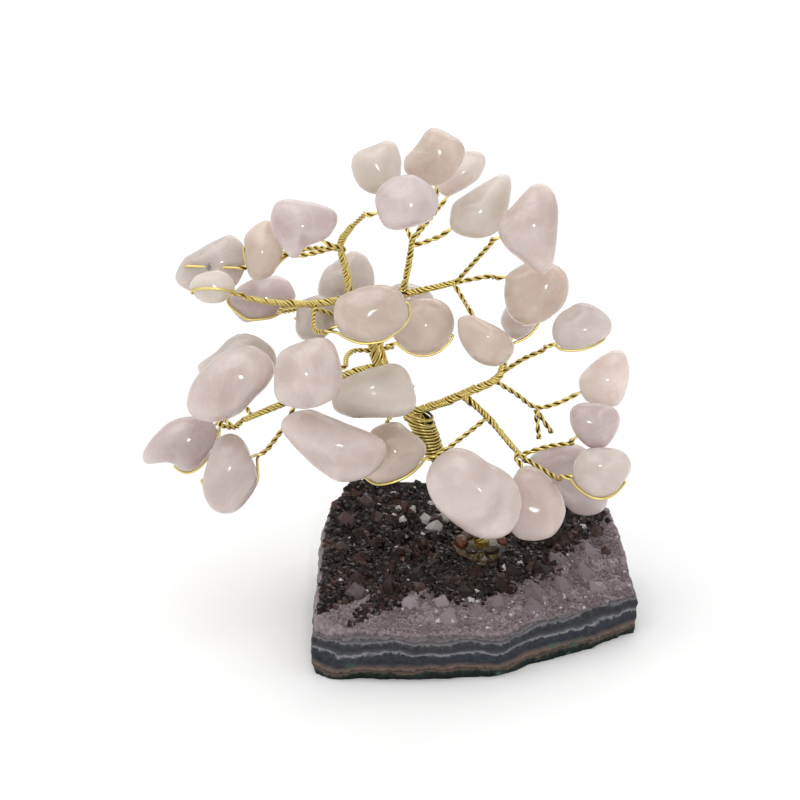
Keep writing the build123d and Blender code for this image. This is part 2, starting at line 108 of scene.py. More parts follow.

# Trunk and stems. A rope: strands, pitch, radius of their ring, share by which it thins, and painted shade
# that darkens its wires where they lie deep among the others.
TRUNK_ROPE = (11, 9.4 * MM, 1.5 * MM, 0.0, 0.18)
LIMB_ROPE = (6, 5.0 * MM, 0.9 * MM, 0.0, 0.25)
BINDING_TURNS = 13
BINDING_STEPS = 32
# Painted shade that darkens the binding wire
BINDING_SHADE = 0.2
BINDING_LUMP_RATE = 0.55
BINDING_LUMP_SEED = 3.0
BINDING_SWAY_RATE = 0.14
BINDING_SWAY_SEED = 9.0
BINDING_UNEVEN = 0.3 * MM
BINDING_SWAY_DEG = 8
BINDING_TURN_DEG = 30
BINDING_FOOT_R = 2.0 * MM
BINDING_TOP_R = 3.5 * MM
BINDING_SLANT_DEG = 10
FOOT_DEPTH = 7.5 * MM
FOOT_RISE = 6.2 * MM

# Gems
GEM_FLAT_SHARE = 0.82
GEM_LEVEL = 5
CUT_COUNT = 6
CUT_SPREAD = 0.6
CUT_SHARES = (0.86, 0.98)
BORE_R = 0.5 * MM
BORE_DIP = 0.9 * MM
FACET_SHARPNESS = 14
DENT_SHARE = 0.03
DENT_SCALE = 1.4
DENT_SHIFT = 50
OUTLINE_STEP = 0.15 * MM
OUTLINE_ROUNDS = 60

# Slab
SLAB_WIDTH = 71.5 * MM
SLAB_DEPTH = 62.5 * MM
SLAB_HEIGHT = 21.0 * MM
SEAT_R = 7.5 * MM
BELLY_HEIGHT = 4.0 * MM
UNDERSIDE_SHARE = 0.97
BELLY_SHARE = 1.0
RIM_SHARE = 0.97
DISH_IN = 0.45
DISH_LEVEL_SHARE = 0.35
LAYER_HEIGHT = 14.0 * MM
LAYER_TOP = 0.60
LINING_LAYER = 0.66
LAYER_WAVE = 0.11
LAYER_GRIT = 0.03
SHOULDER_HEIGHT = 2.6 * MM
SHOULDER_SHARE = 0.995
# Relief of the rock: noise scale, depth and octaves
SWELL = (130, 0.7 * MM, 4)
GRAIN = (700, 0.22 * MM, 3)
JAG = (95, 1.2 * MM, 4)
LINING_RELIEF = (330, 0.45 * MM, 4)
RELIEF_EASE = 6
NOISE_FALL = 0.9
NOISE_STEP = 2.1
EDGE_STEPS = 40
SIGHT_SPAN = (-0.7, 0.8)
SIGHT_ROUNDS = 40
CAP_R = 0.15 * SEAT_R
SLAB_TURNS = 420
SIDE_RINGS = 44
TOP_RINGS = 56
PALE_FADE = 0.16
PATCH_SCALE = 190
PATCH_MIDDLE = 0.5
PATCH_SWING = 0.6
SPARKLE_SHARE = 0.012
PALE_BACK_DEG = 45
CRYSTAL_COUNT = 50
CRYSTAL_R = 3.4 * MM
CRYSTAL_ROOT = 1.6 * MM
CRYSTAL_RISES = (1.2 * MM, 2.6 * MM)
CRYSTAL_RISE_STEP = 0.7549
CRYSTAL_LEAN_SHARE = 0.35
CRYSTAL_REACH_SHARE = 0.82
GOLDEN_ANGLE_DEG = 137.508
HEX_SIDES = 6
HEX_JUTS = (0.84, 1.14)
TIP_STRAY = 0.2
OFF_AXIS = (0.3, 0.9, 0.2)
LOW_RINGS = ((0.0, 1.0), (0.55, 0.62))
STEEP_RINGS = ((-0.6, 1.0), (0.35, 0.92))
LARGE_SEED = 10
LARGE_PALE_FROM = 0.3
LARGE_PALE_SHADES = (0.2, 0.6)
LARGE_DARK_SHADES = (0.0, 0.55)
SEEN_SINK = 0.35
SEEN_RISE = 1.25
SEEN_LEANS = ((-0.2, 0.2), (-0.3, 0.1))
# Strewn points: how many, seed, radii, and the power that their shades are drawn with
DRUSE = (4200, 11, (0.35 * MM, 1.15 * MM), 2.0)
SUGAR = (5200, 12, (0.18 * MM, 0.55 * MM), 0.8)
STREWN_CLEAR_R = 0.7 * SEAT_R
STREWN_FROM = 0.01
STREWN_LEAN = 0.45
STREWN_SINK = 0.25
STREWN_RISES = (0.8, 1.4)

# Places are (column px, row px, depth share), as in the solids
FOOT = (481, 553, 0.10)
TRUNK_ROUTE = [(462, 508, 0.08), (440, 462, 0.07), (412, 413, 0.07), (388, 384, 0.07), (377, 354, 0.07),
               (374, 330, 0.08)]
LEFT_LIMB_ROUTE = [(374, 334, 0.08), (363, 314, 0.08), (350, 298, 0.07)]
RIGHT_LIMB_ROUTE = [(374, 334, 0.08), (387, 310, 0.09), (404, 291, 0.10)]
RIGHT_FORK_ROUTE = [(436, 456, 0.07), (424, 434, 0.06), (411, 419, 0.055)]
LEFT_FORK_ROUTE = [(381, 374, 0.07), (374, 369, 0.065), (366, 370, 0.06)]
BINDING_ROUTE = [(435, 454, 0.06), (416, 411, 0.055)]

# A branch's rope: strands, pitch in mm, radius of their ring in mm, and share by which it thins. The number
# after the rope is painted shade that darkens the stem's wires.
# A gem: depth share, breadth px (for its thickness), tint, twig route, and its outline in the photograph,
# read as corners (column, row) in order round it
BRANCHES = {
    "right": {
        "stem": [(404, 417, 0.055), (428, 407, 0.045), (442, 403, 0.04), (470, 391, 0.02), (490, 383, 0.012),
                 (500, 376, 0.014), (504, 364, 0.03)],
        "pivot": (442, 409, 0.04),
        "parent": "stand",
        "rope": (5, 3.6, 0.80, 0.25),
        "inner_shade": 0.0,
        "gems": [
            (0.36, 42, "grey", [(504, 364, 0.03), (511, 352, 0.14)],
             [(506, 305), (530, 304), (541, 317), (532, 332), (518, 341), (507, 336), (499, 322)]),
            (-0.07, 48, "grey", [(501, 373, 0.02), (524, 358, -0.03), (544, 350, -0.06)],
             [(580, 302), (592, 304), (603, 311), (611, 319), (613, 328), (609, 337), (595, 344), (578, 349),
              (562, 349), (555, 343), (551, 333), (553, 322), (561, 312)]),
            (0.10, 46, "pink", [(497, 382, 0.01), (518, 395, 0.04), (536, 410, 0.06), (562, 402, 0.08)],
             [(617, 348), (625, 352), (629, 364), (630, 373), (628, 385), (624, 397), (617, 408), (606, 406),
              (586, 402), (580, 392), (578, 382), (581, 374), (588, 367), (601, 356)]),
        ],
        "bare": [[(536, 410, 0.06), (539, 439, 0.05)], [(536, 410, 0.06), (552, 433, 0.075)]],
    },
    "lower_right": {
        "stem": [(463, 396, 0.024), (473, 403, 0.016), (489, 418, -0.002), (506, 439, -0.022),
                 (520, 455, -0.04)],
        "pivot": (469, 398, 0.02),
        "parent": "right_branch",
        "rope": (4, 4.0, 0.56, 0.45),
        "inner_shade": 0.05,
        "gems": [
            (-0.12, 48, "lilac", [(520, 455, -0.04), (548, 446, -0.06), (574, 443, -0.078)],
             [(571, 407), (578, 403), (592, 402), (606, 404), (617, 409), (621, 417), (618, 430), (612, 441),
              (605, 449), (589, 448), (578, 439), (571, 426), (569, 414)]),
            (-0.24, 54, "grey", [(519, 454, -0.04), (540, 468, -0.10), (560, 480, -0.17)],
             [(583, 449), (598, 447), (611, 448), (621, 450), (628, 455), (632, 464), (630, 474), (620, 486),
              (612, 495), (602, 500), (589, 497), (578, 488), (571, 476), (574, 461)]),
            (0.12, 54, "lilac", [(520, 455, -0.04), (526, 461, 0.01)],
             [(529, 457), (549, 446), (566, 441), (585, 447), (600, 470), (609, 496), (607, 507), (600, 514),
              (587, 517), (573, 514), (562, 502), (545, 485), (533, 468)]),
            (-0.22, 54, "pink", [(517, 451, -0.035), (516, 460, -0.10)],
             [(519, 467), (529, 464), (540, 469), (553, 480), (563, 495), (566, 511), (561, 527), (552, 538),
              (536, 541), (519, 539), (508, 528), (504, 508), (510, 483)]),
            (-0.15, 62, "peach", [(488, 417, -0.002), (468, 433, -0.06), (446, 450, -0.12)],
             [(372, 428), (386, 422), (400, 421), (410, 431), (421, 438), (427, 446), (426, 456), (416, 468),
              (406, 476), (392, 482), (376, 485), (364, 476), (362, 450)]),
        ],
        "bare": [],
    },
    "upper_right": {
        "stem": [(400, 295, 0.10), (428, 289, 0.09), (456, 282, 0.07)],
        "pivot": (404, 291, 0.10),
        "parent": "stand",
        "rope": (4, 4.2, 0.56, 0.3),
        "inner_shade": 0.05,
        "gems": [
            (-0.12, 58, "pink", [(455, 283, 0.07), (475, 261, 0.0), (494, 240, -0.06)],
             [(539, 182), (549, 185), (556, 195), (559, 210), (558, 226), (556, 247), (554, 263), (549, 272),
              (541, 275), (532, 270), (522, 261), (509, 251), (501, 240), (497, 229), (500, 219), (512, 207),
              (523, 194), (531, 185)]),
            (0.10, 60, "peach", [(444, 285, 0.078), (473, 279, 0.085), (490, 276, 0.09)],
             [(506, 275), (522, 264), (540, 260), (556, 264), (566, 271), (570, 282), (568, 296), (562, 309),
              (546, 321), (526, 327), (511, 318), (506, 306), (504, 292)]),
            (-0.15, 48, "peach", [(453, 283, 0.074), (464, 300, 0.02)],
             [(457, 317), (471, 314), (484, 321), (497, 326), (508, 334), (515, 345), (513, 355), (506, 363),
              (495, 367), (481, 364), (471, 358), (464, 349), (458, 335)]),
        ],
        "bare": [],
    },
    "top": {
        "stem": [(400, 299, 0.10), (404, 288, 0.10), (409, 262, 0.08), (412, 240, 0.06)],
        "pivot": (404, 291, 0.10),
        "parent": "stand",
        "rope": (4, 4.2, 0.56, 0.3),
        "inner_shade": 0.1,
        "gems": [
            (0.24, 46, "clear", [(412, 240, 0.06), (404, 222, 0.14)],
             [(388, 140), (397, 144), (402, 160), (400, 183), (385, 197), (368, 193), (359, 187), (354, 178),
              (350, 165), (353, 155), (361, 150)]),
            (0.0, 60, "peach", [(412, 240, 0.06), (421, 227, 0.05), (430, 206, 0.03)],
             [(431, 127), (445, 131), (460, 140), (466, 149), (463, 163), (452, 178), (438, 187), (415, 183),
              (403, 170), (404, 157), (413, 150), (420, 140), (426, 130)]),
            (0.30, 38, "grey", [(411, 243, 0.062), (430, 219, 0.18)],
             [(465, 150), (480, 152), (487, 158), (485, 167), (478, 180), (465, 189), (447, 198), (436, 190),
              (445, 172)]),
            (0.06, 52, "clear", [(411, 246, 0.064), (423, 243, 0.062), (441, 236, 0.06)],
             [(504, 173), (510, 175), (512, 184), (510, 203), (505, 222), (496, 234), (480, 239), (464, 237),
              (453, 232), (449, 224), (451, 206), (456, 200), (476, 188), (496, 176)]),
        ],
        "bare": [],
    },
    "upper_left": {
        "stem": [(354, 305, 0.075), (350, 296, 0.07), (346, 270, 0.05), (338, 243, 0.02), (352, 226, -0.04)],
        "pivot": (350, 298, 0.07),
        "parent": "stand",
        "rope": (5, 4.0, 0.66, 0.3),
        "inner_shade": 0.1,
        "gems": [
            (-0.23, 60, "lilac", [(352, 226, -0.04), (366, 213, -0.19)],
             [(392, 176), (414, 174), (430, 184), (438, 193), (440, 204), (435, 215), (428, 223), (406, 229),
              (394, 231), (385, 228), (378, 217), (374, 201), (379, 186)]),
            (-0.12, 52, "lilac", [(341, 252, 0.03), (345, 249, -0.06)],
             [(271, 212), (274, 204), (281, 200), (295, 199), (316, 203), (333, 209), (338, 214), (337, 224),
              (329, 237), (319, 242), (304, 247), (300, 256), (295, 260), (290, 258), (283, 249), (273, 234),
              (270, 220)]),
            (0.06, 42, "peach", [(339, 246, 0.025), (315, 253, 0.07), (298, 256, 0.08)],
             [(268, 218), (254, 226), (247, 232), (243, 239), (245, 248), (245, 262), (250, 280), (262, 281),
              (273, 275), (283, 256), (285, 232)]),
            (0.22, 50, "grey", [(340, 249, 0.03), (306, 247, 0.16), (262, 264, 0.20)],
             [(229, 234), (236, 237), (244, 244), (249, 262), (237, 286), (214, 294), (190, 292), (177, 284),
              (174, 277), (180, 264), (185, 256), (205, 246)]),
            (0.38, 50, "grey", [(347, 274, 0.052), (349, 276, 0.10)],
             [(354, 249), (367, 256), (373, 268), (375, 283), (371, 298), (348, 304), (322, 302), (317, 292),
              (319, 280), (325, 268), (337, 260)]),
        ],
        "bare": [],
    },
    "left": {
        "stem": [(357, 303, 0.075), (345, 299, 0.069), (316, 304, 0.06), (290, 304, 0.04), (268, 302, 0.024),
                 (246, 298, 0.008)],
        "pivot": (350, 298, 0.07),
        "parent": "stand",
        "rope": (5, 3.8, 0.70, 0.5),
        "inner_shade": 0.12,
        "gems": [
            (-0.02, 32, "clear", [(252, 299, 0.012), (245, 298, 0.006)],
             [(188, 286), (195, 276), (206, 271), (220, 270), (231, 275), (236, 285), (232, 296), (222, 303),
              (208, 304), (196, 299)]),
            (0.32, 46, "lilac", [(288, 303, 0.04), (276, 313, 0.13)],
             [(276, 275), (290, 281), (298, 296), (291, 306), (280, 311), (273, 317), (244, 324), (233, 313),
              (226, 301), (236, 288), (254, 278)]),
            (-0.28, 58, "peach", [(316, 304, 0.06), (313, 320, -0.06), (315, 332, -0.19)],
             [(336, 299), (347, 292), (362, 287), (380, 284), (392, 286), (402, 292), (409, 304), (410, 315),
              (405, 326), (396, 333), (380, 341), (360, 342), (342, 335), (334, 327), (333, 312)]),
            (0.20, 44, "grey", [(313, 305, 0.058), (312, 308, 0.10)],
             [(300, 300), (320, 294), (336, 303), (338, 325), (322, 341), (301, 341), (295, 330),
              (295, 314)]),
        ],
        "bare": [],
    },
    "lower_left": {
        "stem": [(373, 368, 0.064), (364, 369, 0.06), (348, 374, 0.055), (318, 388, 0.03), (280, 405, 0.0),
                 (243, 420, -0.03)],
        "pivot": (366, 370, 0.06),
        "parent": "stand",
        "rope": (5, 4.0, 0.70, 0.45),
        "inner_shade": 0.15,
        "gems": [
            (-0.20, 72, "pink", [(243, 420, -0.03), (236, 429, -0.12)],
             [(198, 374), (214, 358), (234, 346), (255, 345), (270, 356), (276, 371), (267, 387), (255, 398),
              (242, 413), (226, 420), (212, 423), (198, 420), (189, 413), (186, 404), (188, 395),
              (191, 385)]),
            (0.12, 52, "grey", [(252, 416, -0.022), (244, 404, 0.05)],
             [(196, 367), (202, 361), (216, 352), (226, 341), (235, 335), (245, 333), (257, 336), (268, 343),
              (275, 350), (278, 362), (268, 385), (238, 398), (210, 388)]),
            (-0.02, 48, "lilac", [(243, 420, -0.03), (233, 428, -0.03)],
             [(188, 416), (205, 417), (216, 423), (219, 432), (214, 445), (206, 458), (196, 469), (187, 473),
              (179, 470), (171, 462), (159, 463), (146, 465), (141, 458), (144, 449), (152, 438), (164, 426),
              (174, 419)]),
            (-0.24, 56, "pink", [(300, 396, 0.016), (284, 428, -0.10), (267, 450, -0.185)],
             [(230, 433), (240, 436), (247, 445), (252, 458), (257, 469), (258, 480), (254, 492), (242, 508),
              (233, 514), (221, 515), (211, 509), (204, 496), (202, 482), (205, 470), (209, 456), (214, 442),
              (221, 435)]),
        ],
        "bare": [],
    },
    "trunk": {
        "stem": None,
        "gems": [
            (-0.40, 76, "pink", [(453, 489, 0.077), (458, 492, -0.10)],
             [(438, 456), (446, 450), (455, 447), (466, 449), (477, 453), (490, 463), (503, 470), (513, 478),
              (520, 490), (522, 504), (518, 521), (511, 533), (500, 539), (484, 540), (471, 535), (453, 522),
              (436, 508), (428, 494), (425, 481), (430, 466)]),
            (-0.34, 58, "pink", [(403, 403, 0.07), (387, 419, -0.08)],
             [(281, 431), (280, 425), (283, 418), (294, 411), (311, 408), (328, 416), (354, 426), (371, 433),
              (383, 439), (387, 446), (385, 458), (378, 470), (368, 478), (354, 482), (338, 482), (327, 477),
              (310, 465), (293, 446)]),
            (-0.18, 52, "clear", [(391, 388, 0.07), (387, 390, 0.0)],
             [(336, 384), (348, 377), (371, 368), (388, 363), (396, 363), (403, 366), (410, 374), (415, 388),
              (417, 404), (413, 412), (402, 417), (380, 418), (352, 418), (334, 411), (330, 396)]),
            (-0.38, 66, "pink", [(377, 351, 0.071), (354, 350, 0.0), (346, 356, -0.14)],
             [(278, 352), (285, 348), (302, 341), (316, 337), (328, 338), (335, 345), (340, 361), (344, 376),
              (342, 389), (335, 399), (320, 407), (302, 409), (288, 406), (278, 402), (274, 392),
              (274, 371)]),
            (-0.05, 58, "peach", [(377, 350, 0.07), (386, 348, 0.04), (393, 347, 0.01)],
             [(405, 303), (420, 297), (438, 299), (449, 305), (454, 316), (454, 330), (449, 341), (438, 351),
              (423, 355), (409, 352), (397, 343), (391, 335), (394, 315)]),
            (0.36, 42, "grey", [(389, 307, 0.091), (394, 305, 0.15)],
             [(391, 285), (407, 282), (423, 287), (435, 296), (430, 315), (400, 318), (387, 300)]),
        ],
        "bare": [],
    },
}

# How a gem's wire runs, where it differs from the plain way (straight on from its twig and back behind the
# gem): angle of the hole in the picture, how far behind the middle it runs as a share of the half thickness,
# picture angle of the side on which the wire comes back, how far that side turns to the front, and how many
# pixels right and down of the middle the hole lies
Way = namedtuple("Way", "angle sink side front shift", defaults=(None, -1.0, (0, 0)))
WIRE_WAYS = {
    "right_1": Way(70, 0.1, -20, 0.0),
    "right_2": Way(6, 0.1, -90, 0.35, (0, 15)),
    "lower_right_1": Way(40, 0.5),
    "lower_right_2": Way(-6, 0.0, -95, 0.5, (0, 10)),
    "lower_right_4": Way(-70, 0.6),
    "lower_right_5": Way(195, 0.0, -90, 0.45, (0, 15)),
    "upper_right_2": Way(10, 0.3, None, -1.0, (0, -20)),
    "upper_right_3": Way(-58, 0.55, None, -1.0, (4, 0)),
    "top_2": Way(95, 0.5),
    "upper_left_1": Way(14, 0.5),
    "upper_left_2": Way(150, 0.6),
    "upper_left_3": Way(172, 0.2, -80, -0.3),
    "upper_left_4": Way(178, -0.72, None, -1.0, (0, 3)),
    "upper_left_5": Way(90, 0.5),
    "left_1": Way(178, 0.0, 90, 3.0, (0, 7)),
    "left_2": Way(165, 0.0, -90, 0.4),
    "left_3": Way(19, 0.0, -71, -0.15, (0, 4)),
    "left_4": Way(180, 0.2),
    "lower_left_1": Way(80, 0.6),
    "lower_left_3": Way(225, 0.1, -45, 0.15, (14, 2)),
    "lower_left_4": Way(205, 0.1, -70, -0.3, (4, -6)),
    "trunk_1": Way(-42, 0.72),
    "trunk_2": Way(152, 0.72),
    "trunk_3": Way(186, 0.72),
    "trunk_4": Way(190, 0.6),
    "trunk_5": Way(8, 0.1, -90, 0.0, (0, 14)),
    "trunk_6": Way(60, 0.5),
}
PLAIN_SINK = 0.4

# Corners of the slab: shares of half width, half depth and rim height. They lie a little further out than
# the solid's, as in the photograph.
OUTLINE_SHARES = [
    (-1.00, -0.91, 0.66), (-0.84, -1.02, 0.59), (-0.39, -1.05, 0.53), (0.14, -0.97, 0.51),
    (0.38, -0.76, 0.48), (0.70, -0.56, 0.47), (1.03, -0.28, 0.46), (0.97, 0.38, 0.68),
    (0.92, 0.71, 0.82), (0.39, 0.94, 0.86), (-0.22, 1.00, 0.93), (-0.80, 0.97, 1.00),
    (-0.93, 0.64, 0.90), (-0.98, 0.19, 0.78), (-0.99, -0.38, 0.71),
]

# Where the pale sugar crystal of the front slope ends and the dark lining begins: column, row
PALE_EDGE = [
    (352, 625), (366, 604), (385, 588), (423, 590), (458, 600), (497, 597), (525, 582), (553, 561),
    (576, 541), (603, 532),
]

# Crystals that stand out in the photograph: column, row, radius in mm and shade
SEEN_CRYSTALS = [
    (434, 529, 3.0, 0.97), (426, 520, 2.2, 0.92), (442, 520, 2.4, 0.95), (356, 594, 3.3, 0.74),
    (346, 521, 3.0, 0.62), (366, 503, 2.6, 0.66), (341, 548, 2.4, 0.60), (376, 518, 2.6, 0.40),
    (358, 535, 2.4, 0.30), (446, 618, 1.3, 0.97), (452, 622, 1.1, 0.92), (438, 622, 1.0, 0.96),
    (436, 612, 0.9, 0.90), (596, 532, 2.2, 0.60), (606, 552, 1.8, 0.55),
]

# Chips in the glue: bearing round the trunk, share of the full size and shade
CHIPS = [
    (185, 1.0, 0.36), (240, 0.72, 0.10), (300, 0.85, 0.05), (10, 0.8, 0.36), (65, 0.7, 0.33),
    (125, 0.9, 0.66),
]
CHIP_SIZE = np.array((1.6, 2.2, 1.6)) * MM
CHIP_RING_R = 4.6 * MM
CHIP_LIFT = 0.3 * MM
GLUE_SIZE = np.array((6.4, 6.4, 2.3)) * MM
GLUE_RUN_SIZE = np.array((1.3, 4.6, 1.1)) * MM
GLUE_RUN_PLACE = np.array((0.2, -5.0, 0.5)) * MM
GLUE_SINK = 0.6 * MM
# Lumpy balls: level of detail, noise scale and depth as a share
GLUE_LUMPS = (4, 1.7, 0.16)
GLUE_RUN_LUMPS = (4, 2.0, 0.2)
GLUE_RUN_SHIFT = 5.0
CHIP_LUMPS = (3, 1.6, 0.22)
CHIP_SHIFT = 7.0

# Stage: light's name, place in metres, size and power
FLOOR_REACH = 3.0
WORLD_STRENGTH = 0.72
LIGHTS = [
    ("overhead_softbox", (-0.3, -0.2, 1.2), 1.2, 5.0),
    ("back_softbox", (0.2, 0.9, 0.8), 1.0, 2.5),
    ("flash", tuple(EYE + RIGHT * 0.05 + UP * 0.03), 0.03, 0.45),
]

# Brightness of a gem beside others of its tint
LIFTS = {"right_3": 1.25, "upper_right_2": 1.12, "top_3": 1.12, "lower_right_2": 1.08, "lower_left_3": 0.92,
         "lower_left_4": 0.90, "left_3": 0.95}

BLACK = (0, 0, 0)
WHITE = (1, 1, 1)

# Colours of the gems, linear: body and veil
TINTS = {
    "pink": ((0.53, 0.44, 0.405), (0.64, 0.56, 0.525)),
    "lilac": ((0.51, 0.425, 0.42), (0.62, 0.545, 0.535)),
    "peach": ((0.52, 0.42, 0.355), (0.63, 0.54, 0.475)),
    "grey": ((0.50, 0.435, 0.40), (0.60, 0.545, 0.51)),
    "clear": ((0.56, 0.50, 0.435), (0.67, 0.62, 0.57)),
}


def unit(vector):
    return vector / np.linalg.norm(vector)


def sight_scale(row, depth_share):
    ray_depth = EYE_DISTANCE * AWAY[1] + (PICTURE_MIDDLE_PX - row) * MM_PER_PX * UP[1]
    return (depth_share * CROWN_DEPTH - EYE[1]) / ray_depth


def spot(place):
    """The point of the tree behind a pixel of the photograph."""
    column, row, depth_share = place
    across = RIGHT * ((column - PICTURE_MIDDLE_PX) * MM_PER_PX)
    upward = UP * ((PICTURE_MIDDLE_PX - row) * MM_PER_PX)
    return EYE + (AWAY * EYE_DISTANCE + across + upward) * sight_scale(row, depth_share)


# Mesh helpers
def piece(name, part, material, mark=None, smooth=True):
    """An object from vertices, faces and, for a mark, one number a vertex."""
    verts, faces = part[0], part[1]
    mesh = bpy.data.meshes.new(name)
    mesh.from_pydata([tuple(v) for v in verts], [], faces)
    mesh.update()
    mesh.materials.append(material)
    mesh.polygons.foreach_set("use_smooth", [smooth] * len(mesh.polygons))
    if mark:
        attribute = mesh.attributes.new(mark, "FLOAT", "POINT")
        attribute.data.foreach_set("value", [float(value) for value in part[2]])
    obj = bpy.data.objects.new(name, mesh)
    bpy.context.scene.collection.objects.link(obj)
    return obj


def settle(obj, body, slot, *nodes):
    """Hangs a piece on its body in place of its nodes."""
    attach(obj, body)
    if nodes:
        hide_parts(*nodes)


def joined(parts):
    """One part from several: vertices, faces and marks."""
    verts, faces, marks = [], [], []
    for part_verts, part_faces, part_marks in parts:
        base = len(verts)
        verts.extend(part_verts)
        faces.extend([tuple(base + i for i in face) for face in part_faces])
        marks.extend(part_marks)
    return verts, faces, marks


def run_lengths(points):
    steps = np.linalg.norm(np.diff(points[:, :3], axis=0), axis=1)
    return np.concatenate(([0.0], np.cumsum(steps)))


def evenly(points, step):
    """The same line with points a step apart, and what else each point holds."""
    along = run_lengths(points)
    count = max(2, int(round(along[-1] / step)) + 1)
    at = np.linspace(0, along[-1], count)
    return np.stack([np.interp(at, along, column) for column in points.T], axis=1)


def bent(points, step=WIRE_STEP):
    """A wire's line along straight runs, with a soft bend at each corner."""
    points = [np.array(p) for p in points]
    line = [points[0]]
    for before, corner, after in zip(points, points[1:], points[2:]):
        reach = CORNER_SHARE * min(np.linalg.norm(corner - before), np.linalg.norm(after - corner))
        start = corner + unit(before - corner) * reach
        end = corner + unit(after - corner) * reach
        for t in np.linspace(0, 1, CORNER_STEPS):
            line.append(start * (1 - t) ** 2 + corner * 2 * t * (1 - t) + end * t**2)
    line.append(points[-1])
    return evenly(np.array(line), step)


def directions(points):
    ways = np.gradient(points, axis=0)
    return ways / np.linalg.norm(ways, axis=1)[:, None]


def frames_along(points):
    """Tangent and two turning-free side directions at each point of a line."""
    ways = directions(points)
    guess = np.array((0.0, 0.0, 1.0)) if abs(ways[0][2]) < UPRIGHT_FROM else np.array((1.0, 0.0, 0.0))
    side = unit(guess - ways[0] * guess.dot(ways[0]))
    sides = [side]
    for way in ways[1:]:
        side = unit(side - way * side.dot(way))
        sides.append(side)
    sides = np.array(sides)
    return ways, sides, np.cross(ways, sides)


def softened(points, rounds):
    points = points.copy()
    for _ in range(rounds):
        points[1:-1] = 0.5 * points[1:-1] + 0.25 * (points[:-2] + points[2:])
    return points


def waver(along, row, lane=0.0):
    """Smooth noise along a line. Each row and lane has its own."""
    return np.array([noise.noise(Vector((place, row, lane))) for place in along])


def tube(points, radius, outward=None, inner_shade=0.0, sides=WIRE_SIDES):
    """A round wire along a line, with rounded cut ends. It carries painted shade: darkest in the grooves of
    a twist, lighter on the strands' outer sides, and lowered by its inner shade.
    """
    _, across, over = frames_along(points)
    turns = np.linspace(0, 2 * math.pi, sides, endpoint=False)
    ring = (np.cos(turns)[None, :, None] * across[:, None, :]
            + np.sin(turns)[None, :, None] * over[:, None, :])
    radii = np.full(len(points), radius)
    radii[[0, -1]] *= CUT_END_SHARE
    verts = (points[:, None, :] + ring * radii[:, None, None]).reshape(-1, 3)
    if outward is None:
        outward = np.zeros_like(points)
    laid = np.linalg.norm(outward, axis=1)[:, None]
    facing = np.einsum("ikj,ij->ik", ring, outward)
    painted_shade = (UNSHADED_LEVEL * (1 - laid) + 0.5 * (laid + facing) - inner_shade).reshape(-1)
    faces = []
    for i in range(len(points) - 1):
        for k in range(sides):
            after = (k + 1) % sides
            faces.append((i * sides + k, i * sides + after, (i + 1) * sides + after, (i + 1) * sides + k))
    last = (len(points) - 1) * sides
    faces.append(tuple(range(sides - 1, -1, -1)))
    faces.append(tuple(range(last, last + sides)))
    return list(verts), faces, list(painted_shade)


def rope(points, count, pitch, ring, taper=0.0, inner_shade=0.0, seed=0):
    """Strands wound round a core, as one hand-twisted bundle that thins towards its end."""
    along = run_lengths(points)
    _, across, over = frames_along(points)
    uneven = waver(along / ROPE_LUMP, seed)
    radius = ring * (1 - taper * along / along[-1]) * (1 + ROPE_UNEVEN * uneven)
    parts = []
    for number in range(count):
        stray = waver(along / ROPE_LUMP, seed, number + 1.0)
        angle = 2 * math.pi * (number / count + along / pitch) + uneven + ROPE_STRAY_TURN * stray
        outward = np.cos(angle)[:, None] * across + np.sin(angle)[:, None] * over
        reach = radius * (1 + ROPE_UNEVEN * stray)
        parts.append(tube(points + outward * reach[:, None], WIRE_R, outward, inner_shade))
    # The core is painted fully dark: painted shade where it shows between the strands.
    if ring > CORE_FROM_R:
        parts.append(tube(points, ring * (1 - taper) - CORE_INSET, inner_shade=UNSHADED_LEVEL))
    return joined(parts)


# Materials
class Paint:
    """A material in the making: sources are sockets of its nodes, numbers or colours."""

    def __init__(self, name):
        self.material = bpy.data.materials.new(name)
        self.material.use_nodes = True
        self.nodes = self.material.node_tree.nodes
        self.links = self.material.node_tree.links
        self.place = self.nodes.new("ShaderNodeTexCoord").outputs["Object"]

    def feed(self, node, inputs):
        for key, source in inputs.items():
            if isinstance(source, bpy.types.NodeSocket):
                self.links.new(source, node.inputs[key])
            else:
                node.inputs[key].default_value = source

    def node(self, kind, output, inputs, **settings):
        node = self.nodes.new(f"ShaderNode{kind}")
        for name, value in settings.items():
            setattr(node, name, value)
        self.feed(node, inputs)
        return node.outputs[output]

    def mark(self, name):
        """The numbers that a mesh holds under a name."""
        return self.node("Attribute", "Fac", {}, attribute_name=name)

    def noise(self, scale, detail, roughness, distortion=0.0):
        inputs = {"Vector": self.place, "Scale": scale, "Detail": detail, "Roughness": roughness,
                  "Distortion": distortion}
        return self.node("TexNoise", "Fac", inputs)

    def ramp(self, source, stops):
        node = self.nodes.new("ShaderNodeValToRGB")
        elements = node.color_ramp.elements
        while len(elements) < len(stops):
            elements.new(0.5)
        for element, (place, colour) in zip(elements, stops):
            element.position = place
            element.color = (*colour, 1.0)
        self.feed(node, {"Fac": source})
        return node.outputs["Color"]

    def scaled(self, source, factor):
        return self.node("Math", 0, {0: source, 1: factor}, operation="MULTIPLY")

    def added(self, source, factor, base):
        return self.node("Math", 0, {0: source, 1: factor, 2: base}, operation="MULTIPLY_ADD")

    def spread(self, source, least, most):
        return self.node("MapRange", "Result", {"Value": source, "To Min": least, "To Max": most})

    def mixed(self, factor, first, second, blend="MIX"):
        inputs = {"Factor": factor, "A": first, "B": second}
        return self.node("Mix", "Result", inputs, data_type="RGBA", blend_type=blend)

    def bump(self, height, strength, distance):
        return self.node("Bump", "Normal", {"Height": height, "Strength": strength, "Distance": distance})

    def finish(self, inputs):
        self.feed(self.nodes["Principled BSDF"], inputs)
        return self.material


